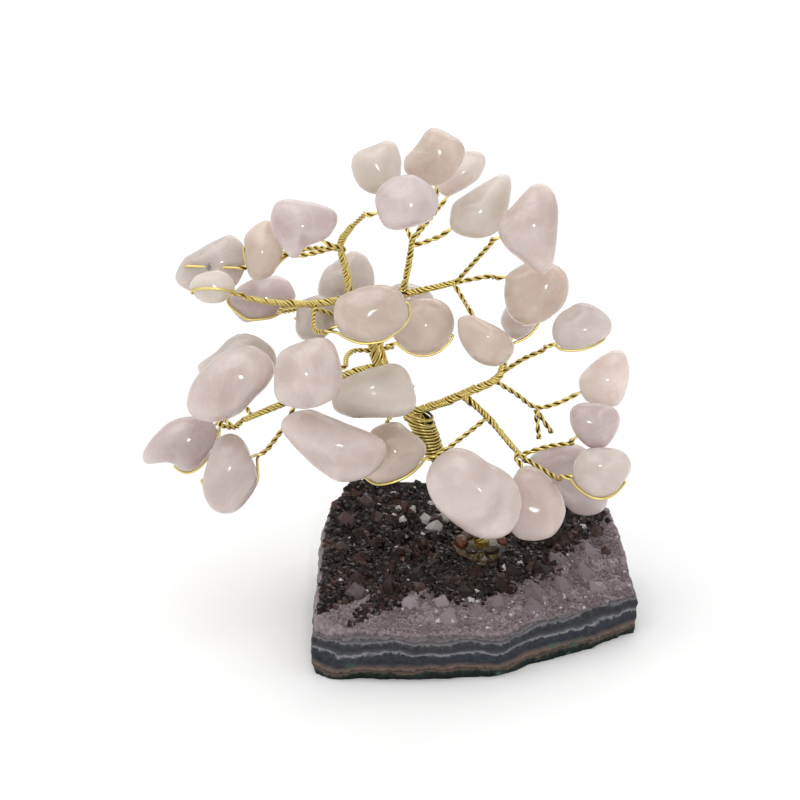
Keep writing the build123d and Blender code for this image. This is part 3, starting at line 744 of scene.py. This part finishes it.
def gem_material(tint):
    """Tumbled rose quartz: cloudy, lit from within, with pale veils and a wet polish."""
    paint = Paint(f"quartz_{tint}")
    body, veil = TINTS[tint]
    tone = paint.ramp(paint.noise(95.0, 3.0, 0.5, 0.8), [(0.36, body), (0.68, veil)])
    vein = paint.noise(60.0, 5.0, 0.6, 2.0)
    streak = paint.ramp(vein, [(0.47, BLACK), (0.5, WHITE), (0.53, BLACK)])
    veined = paint.mixed(paint.scaled(streak, 0.10), tone, (0.88, 0.84, 0.82, 1.0))
    lift = {0: veined, "Scale": paint.mark("lift")}
    return paint.finish({
        "Base Color": paint.node("VectorMath", "Vector", lift, operation="SCALE"),
        "Roughness": paint.spread(paint.noise(260.0, 2.0, 0.5), 0.07, 0.17),
        "Subsurface Weight": 0.85,
        "Subsurface Radius": (1.0, 0.80, 0.74),
        "Subsurface Scale": 8.0 * MM,
        "IOR": 1.54,
        "Normal": paint.bump(paint.noise(420.0, 2.0, 0.5), 0.03, 0.4 * MM),
    })


def brass_material():
    """Drawn brass, browned in random old stretches, with painted shade from its mark: dark in the grooves of
    a twist and on the inner wires, bright on the strands' outer sides.
    """
    paint = Paint("brass_wire")
    age = paint.noise(130.0, 5.0, 0.6)
    # The mark is painted shade: its low values give the dark brown stops in the grooves and on the inner
    # wires.
    tone = paint.ramp(paint.added(age, 0.6, paint.mark("painted_shade")), [
        (0.42, (0.055, 0.030, 0.005)), (0.68, (0.24, 0.145, 0.018)), (0.92, (0.56, 0.41, 0.085)),
        (1.0, (0.80, 0.66, 0.24)),
    ])
    return paint.finish({
        "Base Color": tone,
        "Metallic": 1.0,
        "Roughness": paint.spread(age, 0.40, 0.20),
        "Normal": paint.bump(paint.noise(2600.0, 2.0, 0.5), 0.15, 0.05 * MM),
    })


def rock_material():
    """The slab's layers from rind to lining, read from how far up each point lies."""
    paint = Paint("amethyst_rock")
    layer = paint.mark("layer")
    grit = paint.noise(900.0, 3.0, 0.7)
    wavy = paint.added(paint.noise(85.0, 3.0, 0.5), 2 * LAYER_WAVE, layer)
    tone = paint.ramp(paint.added(grit, 2 * LAYER_GRIT, wavy), [
        (0.03, (0.008, 0.014, 0.012)), (0.065, (0.022, 0.036, 0.031)), (0.085, (0.13, 0.092, 0.070)),
        (0.105, (0.060, 0.045, 0.042)), (0.130, (0.17, 0.125, 0.102)), (0.165, (0.095, 0.075, 0.072)),
        (0.190, (0.026, 0.030, 0.041)), (0.265, (0.036, 0.042, 0.054)), (0.285, (0.24, 0.245, 0.27)),
        (0.300, (0.070, 0.075, 0.086)), (0.335, (0.032, 0.034, 0.040)), (0.375, (0.052, 0.054, 0.062)),
        (0.390, (0.18, 0.18, 0.195)), (0.408, (0.070, 0.066, 0.070)), (0.425, (0.17, 0.155, 0.165)),
        (0.440, (0.10, 0.086, 0.090)), (0.475, (0.25, 0.205, 0.220)), (0.60, (0.25, 0.205, 0.218)),
        (0.68, (0.31, 0.258, 0.273)), (0.78, (0.19, 0.146, 0.154)), (0.88, (0.050, 0.033, 0.031)),
        (1.0, (0.018, 0.011, 0.010)),
    ])
    dust = paint.ramp(grit, [(0.30, (0.55, 0.55, 0.55)), (0.72, (1.35, 1.30, 1.26))])
    moss = paint.ramp(paint.noise(150.0, 3.0, 0.6), [(0.56, BLACK), (0.66, WHITE)])
    low = paint.ramp(layer, [(0.02, WHITE), (0.06, BLACK)])
    dusty = paint.mixed(1.0, tone, dust, "MULTIPLY")
    return paint.finish({
        "Base Color": paint.mixed(paint.scaled(moss, low), dusty, (0.055, 0.13, 0.095, 1.0)),
        "Roughness": 0.5,
        "Specular IOR Level": 0.15,
        "Normal": paint.bump(grit, 0.5, 0.5 * MM),
    })


def crystal_material(name, stops, roughness, gloss):
    """Small quartz points: each point has its own shade."""
    paint = Paint(name)
    shade = paint.added(paint.noise(700.0, 2.0, 0.6), 0.2, paint.mark("shade"))
    return paint.finish({
        "Base Color": paint.ramp(shade, stops),
        "Roughness": roughness,
        "IOR": 1.55,
        "Specular IOR Level": gloss,
    })


def glue_material():
    """Amber glue, cloudy where it is thick."""
    paint = Paint("clear_glue")
    cloud = paint.noise(300.0, 3.0, 0.5)
    return paint.finish({
        "Base Color": paint.ramp(cloud, [(0.35, (0.035, 0.022, 0.008)), (0.70, (0.19, 0.115, 0.022))]),
        "Roughness": 0.12,
        "IOR": 1.48,
        "Transmission Weight": 0.35,
        "Normal": paint.bump(cloud, 0.3, 0.4 * MM),
    })


def chip_material():
    """Chips of several stones: each chip has its own shade, from olive through red and tan to white."""
    paint = Paint("chip_stone")
    tone = paint.ramp(paint.added(paint.noise(400.0, 3.0, 0.6), 0.3, paint.mark("shade")), [
        (0.10, (0.020, 0.016, 0.009)), (0.30, (0.045, 0.028, 0.014)), (0.48, (0.13, 0.034, 0.015)),
        (0.62, (0.10, 0.040, 0.022)), (0.82, (0.20, 0.140, 0.095)), (1.0, (0.40, 0.37, 0.32)),
    ])
    return paint.finish({"Base Color": tone, "Roughness": 0.2})


def floor_material():
    paint = Paint("studio_floor")
    tone = paint.ramp(paint.noise(30.0, 2.0, 0.5), [(0.3, (0.96, 0.96, 0.96)), (0.7, (0.98, 0.98, 0.98))])
    return paint.finish({"Base Color": tone, "Roughness": 0.9})


# Gems
class Gem:
    """A tumbled stone: its outline from the photograph, swollen in depth, and the way its wire runs."""

    def __init__(self, name, row, seed):
        depth, breadth_px, self.tint, self.twig, corners = row
        self.name = name
        corners = np.array(corners, dtype=float)
        column, line = corners.mean(axis=0)
        scale = MM_PER_PX * sight_scale(line, depth)
        self.middle = spot((column, line, depth))
        self.thick = breadth_px * GEM_FLAT_SHARE * scale / 2
        self.outline = rounded_outline((corners - (column, line)) * (scale, -scale))
        draw = random.Random(seed)
        self.cuts = []
        for _ in range(CUT_COUNT):
            way = (draw.gauss(0, CUT_SPREAD), draw.gauss(0, CUT_SPREAD), draw.choice((-1, 1)))
            self.cuts.append((unit(np.array(way)), draw.uniform(*CUT_SHARES)))
        self.dents = Vector([draw.uniform(-DENT_SHIFT, DENT_SHIFT) for _ in range(3)])
        self.points, self.faces = self.mesh()
        self.run_wire()

    def mesh(self):
        sphere, faces = unit_sphere(GEM_LEVEL)
        total = np.ones(len(sphere))
        for way, share in self.cuts:
            total += (np.clip(sphere @ way, 0, None) / share) ** FACET_SHARPNESS
        ball = sphere * (total ** (-1 / FACET_SHARPNESS))[:, None]
        dent = np.array([noise.noise(Vector(p) * DENT_SCALE + self.dents) for p in sphere])
        ball = ball * (1 + DENT_SHARE * dent)[:, None]
        turns = np.arctan2(ball[:, 1], ball[:, 0])
        reach = np.interp(turns, *self.outline, period=2 * math.pi)
        flat = RIGHT * (ball[:, 0] * reach)[:, None] + UP * (ball[:, 1] * reach)[:, None]
        return self.middle + flat - AWAY * (ball[:, 2] * self.thick)[:, None], faces

    def run_wire(self):
        """The hole's line, the side that the wire comes back on, and the section in their plane."""
        to_gem = self.middle - spot(self.twig[-1])
        plain = math.degrees(math.atan2(to_gem @ UP, to_gem @ RIGHT))
        way = WIRE_WAYS.get(self.name, Way(plain, PLAIN_SINK))
        self.through = picture_way(way.angle)
        side = -AWAY * way.front
        if way.side is not None:
            side = side + picture_way(way.side)
        self.side = unit(side - self.through * (side @ self.through))
        beside = RIGHT * way.shift[0] - UP * way.shift[1]
        self.hole = self.middle + AWAY * (way.sink * self.thick) + beside * MM_PER_PX
        self.section = self.slice(self.hole, np.cross(self.through, self.side))

    def slice(self, origin, normal):
        """The stone's outline in a plane, as (along the hole, to the side)."""
        edges = np.array([(f[i], f[(i + 1) % 3]) for f in self.faces for i in range(3)])
        heights = (self.points - origin) @ normal
        first, second = heights[edges[:, 0]], heights[edges[:, 1]]
        crossing = first * second < 0
        share = (first / (first - second))[crossing][:, None]
        start, end = self.points[edges[crossing, 0]], self.points[edges[crossing, 1]]
        rel = start + (end - start) * share - origin
        return np.stack((rel @ self.through, rel @ self.side), axis=1)

    def dimpled(self):
        """The stone's points, drawn in at the mouths of its hole."""
        rel = self.points - (self.hole - self.side * STRAND_OFFSET)
        depth = rel @ self.through
        away = np.linalg.norm(rel - depth[:, None] * self.through, axis=1)
        dip = np.clip(1 - away / (BORE_R * 2), 0, 1) ** 0.5 * BORE_DIP
        return self.points - (np.sign(depth) * dip)[:, None] * self.through


def picture_way(degrees):
    turn = math.radians(degrees)
    return RIGHT * math.cos(turn) + UP * math.sin(turn)


def rounded_outline(corners):
    """Bearings and distances of a softly rounded outline through the corners."""
    loop = np.vstack((corners, corners[:1]))
    line = evenly(np.column_stack((loop, np.zeros(len(loop)))), OUTLINE_STEP)[:-1, :2]
    for _ in range(OUTLINE_ROUNDS):
        line = 0.5 * line + 0.25 * (np.roll(line, 1, axis=0) + np.roll(line, -1, axis=0))
    bearings = np.arctan2(line[:, 1], line[:, 0])
    order = np.argsort(bearings)
    return bearings[order], np.linalg.norm(line, axis=1)[order]


SPHERES = {}


def unit_sphere(level):
    if level not in SPHERES:
        ball = bmesh.new()
        bmesh.ops.create_icosphere(ball, subdivisions=level, radius=1.0)
        verts = np.array([v.co[:] for v in ball.verts])
        faces = [tuple(v.index for v in face.verts) for face in ball.faces]
        ball.free()
        SPHERES[level] = (verts, faces)
    return SPHERES[level]


def loop_corners(section):
    """Corners of the wire's way round the stone, from where it leaves the hole to where it is back."""
    outer = section[section[:, 1] > -STRAND_OFFSET - BORE_R]
    mouth = section[np.abs(section[:, 1] + STRAND_OFFSET) < BORE_R]
    entry, leave = mouth[:, 0].min(), mouth[:, 0].max()
    turns = [math.radians(degrees) for degrees in range(LOOP_START_DEG, LOOP_END_DEG + 1, LOOP_STEP_DEG)]
    ways = np.array([(math.cos(turn), math.sin(turn)) for turn in turns])
    reaches = (ways @ outer.T).max(axis=1) + WIRE_R + LOOP_HUG
    corners = [(entry, -STRAND_OFFSET), (leave + WIRE_R, -STRAND_OFFSET)]
    for i in range(len(turns) - 1):
        corners.append(np.linalg.solve(ways[i:i + 2], reaches[i:i + 2]))
    return entry, corners


def gem_wire(gem):
    """One unbroken wire: up one strand of the twig, through the gem, round it and down the other strand."""
    entry, corners = loop_corners(gem.section)
    tip = gem.hole + gem.through * (entry - TIP_GAP)
    ahead = tip - gem.through * APPROACH
    route = bent([*(spot(place) for place in gem.twig), ahead, tip])
    along = run_lengths(route)
    _, across, over = frames_along(route)
    start = math.atan2(-gem.side.dot(over[-1]), -gem.side.dot(across[-1]))
    angle = start + 2 * math.pi * (along - along[-1]) / PAIR_PITCH
    outward = np.cos(angle)[:, None] * across + np.sin(angle)[:, None] * over
    loop = np.array([gem.hole + gem.through * x + gem.side * y for x, y in corners])
    there = np.hstack((route + outward * STRAND_OFFSET, outward))
    back = np.hstack((route - outward * STRAND_OFFSET, -outward))[::-1]
    round_it = np.hstack((loop, np.zeros_like(loop)))
    line = softened(evenly(np.concatenate((there, round_it, back)), WIRE_STEP), SOFT_ROUNDS)
    return tube(line[:, :3], WIRE_R, line[:, 3:])


def build_gems(brass):
    materials = {tint: gem_material(tint) for tint in TINTS}
    seed = 0
    for branch, row in BRANCHES.items():
        body = "stand" if branch == "trunk" else f"{branch}_branch"
        for number, gem_row in enumerate(row["gems"], 1):
            seed += 1
            gem = Gem(f"{branch}_{number}", gem_row, seed)
            lift = [LIFTS.get(gem.name, 1.0)] * len(gem.points)
            part = (gem.dimpled(), gem.faces, lift)
            stone = piece(f"quartz_{gem.name}", part, materials[gem.tint], "lift")
            settle(stone, body, f"{gem.tint}_quartz", f"{branch}_gem_{number}")
            wire = piece(f"wire_{gem.name}", gem_wire(gem), brass, "painted_shade")
            settle(wire, body, "brass_wire", f"{branch}_loops")


def build_stems(brass):
    for seed, (branch, row) in enumerate(BRANCHES.items()):
        if not row["stem"]:
            continue
        route = bent([spot(place) for place in row["stem"]])
        count, pitch, ring, taper = row["rope"]
        part = rope(route, count, pitch * MM, ring * MM, taper, row["inner_shade"], seed)
        stem = piece(f"stem_{branch}", part, brass, "painted_shade")
        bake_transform(stem)
        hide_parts(f"{branch}_wires")
        for number, places in enumerate(row["bare"], 1):
            part = rope(bent([spot(place) for place in places]), 2, PAIR_PITCH, STRAND_OFFSET)
            twig = piece(f"bare_twig_{branch}_{number}", part, brass, "painted_shade")
            settle(twig, f"{branch}_branch", "brass_wire")


def build_trunk(brass):
    foot = SEAT - np.array((0, 0, FOOT_DEPTH))
    rise = SEAT + np.array((0, 0, FOOT_RISE))
    route = bent([foot, rise, *(spot(place) for place in TRUNK_ROUTE)])
    trunk = piece("trunk_bundle", rope(route, *TRUNK_ROPE), brass, "painted_shade")
    settle(trunk, "stand", "brass_wire", "trunk", "trunk_twigs")
    limbs = {"left_limb": LEFT_LIMB_ROUTE, "right_limb": RIGHT_LIMB_ROUTE, "right_fork": RIGHT_FORK_ROUTE,
             "left_fork": LEFT_FORK_ROUTE}
    for seed, (node, places) in enumerate(limbs.items()):
        route = bent([spot(place) for place in places])
        limb = piece(f"{node}_bundle", rope(route, *LIMB_ROPE, seed), brass, "painted_shade")
        settle(limb, "stand", "brass_wire", node)
    build_binding(brass)


def build_binding(brass):
    """The tight winding that fans out from the trunk to the fork."""
    foot, top = (spot(place) for place in BINDING_ROUTE)
    t = np.linspace(0, 1, BINDING_TURNS * BINDING_STEPS + 1)
    angle = 2 * math.pi * BINDING_TURNS * t
    uneven = waver(angle * BINDING_LUMP_RATE, BINDING_LUMP_SEED)
    radius = BINDING_FOOT_R + (BINDING_TOP_R - BINDING_FOOT_R) * t + BINDING_UNEVEN * uneven
    sway = waver(angle * BINDING_SWAY_RATE, BINDING_SWAY_SEED)
    slant = np.radians(BINDING_SLANT_DEG + BINDING_SWAY_DEG * sway - BINDING_TURN_DEG * t)[:, None]
    across = RIGHT * np.cos(slant) + UP * np.sin(slant)
    ring = np.cos(angle)[:, None] * across + np.sin(angle)[:, None] * np.array((0, 1, 0))
    line = foot + (top - foot) * t[:, None] + ring * radius[:, None]
    binding = piece("trunk_binding_wire", tube(line, WIRE_R, ring, BINDING_SHADE), brass, "painted_shade")
    settle(binding, "stand", "brass_wire", "trunk_binding")


# Slab
SEAT = spot(FOOT)
SEAT[2] = SEAT_HEIGHT


def slab_edge():
    """The slab's edge seen from the seat: bearings, distances and rim heights."""
    corners = [np.array((x * SLAB_WIDTH / 2, y * SLAB_DEPTH / 2)) - SEAT[:2] for x, y, _ in OUTLINE_SHARES]
    rims = [rim * SLAB_HEIGHT for _, _, rim in OUTLINE_SHARES]
    line = []
    for i, corner in enumerate(corners):
        after = (i + 1) % len(corners)
        for t in np.linspace(0, 1, EDGE_STEPS, endpoint=False):
            line.append((*(corner + (corners[after] - corner) * t), rims[i] + (rims[after] - rims[i]) * t))
    line = np.array(line)
    bearings = np.arctan2(line[:, 1], line[:, 0])
    order = np.argsort(bearings)
    return bearings[order], np.hypot(line[:, 0], line[:, 1])[order], line[order, 2]


EDGE_BEARINGS, EDGE_REACHES, EDGE_RIMS = slab_edge()


def edge_at(bearing):
    reach = np.interp(bearing, EDGE_BEARINGS, EDGE_REACHES, period=2 * math.pi)
    return reach, np.interp(bearing, EDGE_BEARINGS, EDGE_RIMS, period=2 * math.pi)


def lining_at(x, y):
    """Height of the crystal lining, and how far in from the rim (0) towards the seat (1)."""
    away = np.array((x, y)) - SEAT[:2]
    reach, rim = edge_at(math.atan2(away[1], away[0]))
    inner = reach * RIM_SHARE
    inward = 1 - np.hypot(*away) / inner
    dish = SEAT_HEIGHT + (rim - SEAT_HEIGHT) * DISH_LEVEL_SHARE
    return np.interp(inward, (0, DISH_IN, 1 - SEAT_R / inner), (rim, dish, SEAT_HEIGHT)), inward


def on_lining(column, row):
    """The place of the lining behind a pixel of the photograph."""
    near, far = SIGHT_SPAN
    for _ in range(SIGHT_ROUNDS):
        middle = (near + far) / 2
        point = spot((column, row, middle))
        if point[2] > lining_at(point[0], point[1])[0]:
            near = middle
        else:
            far = middle
    return spot((column, row, near))


def pale_edge():
    """How far in the pale front slope reaches, by bearing from the seat."""
    edge = []
    for column, row in PALE_EDGE:
        x, y, _ = on_lining(column, row)
        edge.append((math.atan2(y - SEAT[1], x - SEAT[0]), lining_at(x, y)[1]))
    edge.append((math.radians(PALE_BACK_DEG), 0.0))
    return np.array(sorted(edge)).T


PALE_BEARINGS, PALE_DEPTHS = pale_edge()


def paleness(x, y, inward):
    """How much of the pale sugar crystal lies at a place of the lining: most on the front slope."""
    bearing = math.atan2(y - SEAT[1], x - SEAT[0])
    depth = np.interp(bearing, PALE_BEARINGS, PALE_DEPTHS, left=-PALE_FADE, right=-PALE_FADE)
    return np.clip((depth - inward) / PALE_FADE + 0.5, 0, 1)


def main_crystals():
    """The lining's large points, placed as in the solid: root and tip of each."""
    points = []
    for number in range(CRYSTAL_COUNT):
        spread = math.sqrt((number + 1) / CRYSTAL_COUNT)
        bearing = math.radians(number * GOLDEN_ANGLE_DEG)
        way = np.array((math.cos(bearing), math.sin(bearing)))
        edge = way * (SLAB_WIDTH, SLAB_DEPTH) * (spread / 2)
        x, y = edge * CRYSTAL_REACH_SHARE
        if np.hypot(x - SEAT[0], y - SEAT[1]) < SEAT_R + CRYSTAL_R or lining_at(*edge)[1] < 0:
            continue
        least, most = CRYSTAL_RISES
        rise = least + (most - least) * (number * CRYSTAL_RISE_STEP % 1)
        root = np.array((x, y, lining_at(x, y)[0] - CRYSTAL_ROOT))
        lean = -way * CRYSTAL_LEAN_SHARE * CRYSTAL_R
        points.append((root, root + np.array((lean[0], lean[1], CRYSTAL_ROOT + rise))))
    return points


def druse_at(x, y, crystals):
    """Height of the lining with its large points."""
    level, inward = lining_at(x, y)
    for root, tip in crystals:
        slope = (tip[2] - root[2]) / CRYSTAL_R
        level = max(level, tip[2] - slope * np.hypot(x - tip[0], y - tip[1]))
    return level, inward


def relief(point, kind):
    scale, depth, octaves = kind
    return noise.fractal(Vector(point) * scale, NOISE_FALL, NOISE_STEP, octaves) * depth


def slab_column(bearing):
    """One upright line of the slab from underside over the rim to the seat: places and layers."""
    reach, rim = edge_at(bearing)
    way = np.array((math.cos(bearing), math.sin(bearing)))
    base_layer = -LAYER_WAVE - LAYER_GRIT
    column = []
    for height in np.linspace(0, rim, SIDE_RINGS):
        share = np.interp(height, (0, BELLY_HEIGHT, rim - SHOULDER_HEIGHT, rim),
                          (UNDERSIDE_SHARE, BELLY_SHARE, SHOULDER_SHARE, RIM_SHARE))
        place = (*(way * reach), height)
        swell = relief(place, SWELL) + relief(place, GRAIN)
        jag = relief((*(way * reach), 0.0), JAG) * max(0.0, 1 - height / BELLY_HEIGHT)
        flat = SEAT[:2] + way * (reach * share + swell + jag)
        column.append(((*flat, height), base_layer + min(LAYER_TOP, LAYER_TOP * height / LAYER_HEIGHT)))
    for inward in np.linspace(0, 1 - CAP_R / reach, TOP_RINGS + 1)[1:]:
        x, y = SEAT[:2] + way * (reach * RIM_SHARE * (1 - inward))
        level, _ = lining_at(x, y)
        rough = relief((x, y, level), LINING_RELIEF) * min(1.0, RELIEF_EASE * inward)
        layer = LINING_LAYER + (1 - LINING_LAYER) * (1 - paleness(x, y, inward))
        column.append(((x, y, level + rough), base_layer + layer))
    return column


def build_slab(rock):
    columns = [slab_column(2 * math.pi * turn / SLAB_TURNS) for turn in range(SLAB_TURNS)]
    rows = len(columns[0])
    verts = [place for column in columns for place, _ in column]
    layers = [layer for column in columns for _, layer in column]
    faces = []
    for turn in range(SLAB_TURNS):
        here, after = turn * rows, (turn + 1) % SLAB_TURNS * rows
        for ring in range(rows - 1):
            faces.append((here + ring, after + ring, after + ring + 1, here + ring + 1))
    faces.append(tuple(turn * rows for turn in range(SLAB_TURNS - 1, -1, -1)))
    faces.append(tuple(turn * rows + rows - 1 for turn in range(SLAB_TURNS)))
    slab = piece("amethyst_rock", (verts, faces, layers), rock, "layer")
    settle(slab, "stand", "amethyst", "amethyst_slab")


def crystal_point(root, tip, radius, rings, draw):
    """One six-sided quartz point with uneven sides and a blunt tip."""
    way = tip - root
    across = unit(np.cross(way, OFF_AXIS))
    over = np.cross(unit(way), across)
    spin = draw.uniform(0, math.pi)
    verts = []
    for rise, width in rings:
        for side in range(HEX_SIDES):
            turn = spin + 2 * math.pi * side / HEX_SIDES
            jut = radius * width * draw.uniform(*HEX_JUTS)
            verts.append(root + (across * math.cos(turn) + over * math.sin(turn)) * jut + way * rise)
    verts.append(tip + (across * draw.uniform(-1, 1) + over * draw.uniform(-1, 1)) * radius * TIP_STRAY)
    faces = [tuple(range(HEX_SIDES - 1, -1, -1))]
    for side in range(HEX_SIDES):
        after = (side + 1) % HEX_SIDES
        faces.append((side, after, HEX_SIDES + after, HEX_SIDES + side))
        faces.append((HEX_SIDES + side, HEX_SIDES + after, 2 * HEX_SIDES))
    return verts, faces


def strewn(kind, pale, crystals):
    """Small quartz points strewn over the lining, on its pale or its dark ground."""
    count, seed, radii, power = kind
    draw = random.Random(seed)
    parts = []
    while len(parts) < count:
        x, y = draw.uniform(-0.5, 0.5) * SLAB_WIDTH, draw.uniform(-0.5, 0.5) * SLAB_DEPTH
        level, inward = druse_at(x, y, crystals)
        near_seat = np.hypot(x - SEAT[0], y - SEAT[1]) < STREWN_CLEAR_R
        ground = paleness(x, y, inward)
        if inward < STREWN_FROM or near_seat or draw.random() > (ground if pale else 1 - ground):
            continue
        radius = draw.uniform(*radii)
        way = unit(np.array((draw.gauss(0, STREWN_LEAN), draw.gauss(0, STREWN_LEAN), 1.0)))
        root = np.array((x, y, level - radius * STREWN_SINK))
        tip = root + way * radius * draw.uniform(*STREWN_RISES)
        verts, faces = crystal_point(root, tip, radius, STEEP_RINGS, draw)
        patch = PATCH_MIDDLE + PATCH_SWING * noise.noise(Vector((x, y, 0.0)) * PATCH_SCALE)
        shade = patch * draw.random() ** power
        # A few points take the palest shade as a painted glint.
        if draw.random() < SPARKLE_SHARE:
            shade = 1.0
        parts.append((verts, faces, [shade] * len(verts)))
    return parts


def build_crystals():
    crystals = main_crystals()
    draw = random.Random(LARGE_SEED)
    dark_points, pale_points = [], []
    for root, tip in crystals:
        verts, faces = crystal_point(root, tip, CRYSTAL_R, LOW_RINGS, draw)
        if paleness(tip[0], tip[1], lining_at(tip[0], tip[1])[1]) > LARGE_PALE_FROM:
            pale_points.append((verts, faces, [draw.uniform(*LARGE_PALE_SHADES)] * len(verts)))
        else:
            dark_points.append((verts, faces, [draw.uniform(*LARGE_DARK_SHADES)] * len(verts)))
    for column, row, radius, shade in SEEN_CRYSTALS:
        root = on_lining(column, row) - np.array((0, 0, SEEN_SINK * radius * MM))
        lean = [*(draw.uniform(*span) for span in SEEN_LEANS), SEEN_RISE]
        tip = root + np.array(lean) * radius * MM
        verts, faces = crystal_point(root, tip, radius * MM, LOW_RINGS, draw)
        dark_points.append((verts, faces, [shade] * len(verts)))
    dark = crystal_material("druse_points", [
        (0.10, (0.009, 0.005, 0.005)), (0.40, (0.024, 0.013, 0.011)), (0.60, (0.070, 0.034, 0.024)),
        (0.80, (0.080, 0.056, 0.060)), (0.96, (0.19, 0.155, 0.165)), (1.0, (0.50, 0.48, 0.47)),
    ], roughness=0.2, gloss=0.2)
    pale = crystal_material("sugar_points", [
        (0.10, (0.11, 0.080, 0.084)), (0.50, (0.23, 0.184, 0.196)), (0.85, (0.34, 0.288, 0.304)),
        (1.0, (0.58, 0.54, 0.57)),
    ], roughness=0.35, gloss=0.3)
    dark_points += strewn(DRUSE, False, crystals)
    pale_points += strewn(SUGAR, True, crystals)
    parts = {"druse_crystals": (dark_points, dark), "sugar_crystals": (pale_points, pale)}
    for name, (points, material) in parts.items():
        obj = piece(name, joined(points), material, "shade", smooth=False)
        settle(obj, "stand", "amethyst")


def lumpy(level, scale, share, shift):
    """A lumpy ball: points and faces."""
    sphere, faces = unit_sphere(level)
    lumps = np.array([noise.noise(Vector(p) * scale + Vector((shift, 0, 0))) for p in sphere])
    return sphere * (1 + share * lumps)[:, None], faces


def build_planting():
    ball, faces = lumpy(*GLUE_LUMPS, 0.0)
    mound = ball * GLUE_SIZE
    mound[:, 2] = np.maximum(mound[:, 2], -GLUE_SINK)
    run, _ = lumpy(*GLUE_RUN_LUMPS, GLUE_RUN_SHIFT)
    run = run * GLUE_RUN_SIZE + GLUE_RUN_PLACE
    glue = piece("glue_bead", joined([(SEAT + mound, faces, ()), (SEAT + run, faces, ())]), glue_material())
    settle(glue, "stand", "glue", "glue_mound")
    parts = []
    for number, (bearing, share, shade) in enumerate(CHIPS):
        turn = math.radians(bearing)
        out = np.array((math.cos(turn), math.sin(turn), 0))
        along = np.array((-math.sin(turn), math.cos(turn), 0))
        ball, faces = lumpy(*CHIP_LUMPS, number * CHIP_SHIFT)
        local = ball * CHIP_SIZE * share
        middle = SEAT + out * CHIP_RING_R + np.array((0, 0, CHIP_SIZE[2] * share + CHIP_LIFT))
        parts.append((middle + local @ np.array((out, along, (0, 0, 1))), faces, [shade] * len(ball)))
    chips = piece("planting_chips", joined(parts), chip_material(), "shade")
    settle(chips, "stand", "chip", "foot_chips")


# Stage
def build_floor():
    reach = FLOOR_REACH
    verts = [(-reach, -reach, 0), (reach, -reach, 0), (reach, reach, 0), (-reach, reach, 0)]
    piece("studio_floor_plane", (verts, [(0, 1, 2, 3)]), floor_material())


def build_light():
    """A white room, soft boxes and a small flash beside the camera."""
    scene = bpy.context.scene
    world = bpy.data.worlds.new("studio")
    world.use_nodes = True
    background = world.node_tree.nodes["Background"]
    background.inputs["Color"].default_value = (1.0, 1.0, 1.0, 1.0)
    background.inputs["Strength"].default_value = WORLD_STRENGTH
    scene.world = world
    scene.view_settings.view_transform = "Standard"
    for name, place, size, power in LIGHTS:
        light = bpy.data.lights.new(name, "AREA")
        light.shape = "DISK"
        light.size = size
        light.energy = power
        lamp = bpy.data.objects.new(name, light)
        lamp.location = place
        aim = Vector(PICTURE_MIDDLE) - Vector(place)
        lamp.rotation_euler = aim.to_track_quat("-Z", "Y").to_euler()
        scene.collection.objects.link(lamp)


def build_camera():
    """The photograph's view."""
    camera = bpy.data.cameras.new("view")
    camera.sensor_fit = "HORIZONTAL"
    camera.sensor_width = SENSOR_MM
    camera.lens = SENSOR_MM * EYE_DISTANCE / (PICTURE_PX * MM_PER_PX)
    camera.clip_start = 0.01
    holder = bpy.data.objects.new("view", camera)
    holder.location = tuple(EYE)
    holder.rotation_euler = Vector(AWAY).to_track_quat("-Z", "Y").to_euler()
    bpy.context.scene.collection.objects.link(holder)
    bpy.context.scene.camera = holder


def main():
    brass = brass_material()
    build_floor()
    build_light()
    build_camera()
    build_gems(brass)
    build_stems(brass)
    build_trunk(brass)
    build_slab(rock_material())
    build_crystals()
    build_planting()


main()
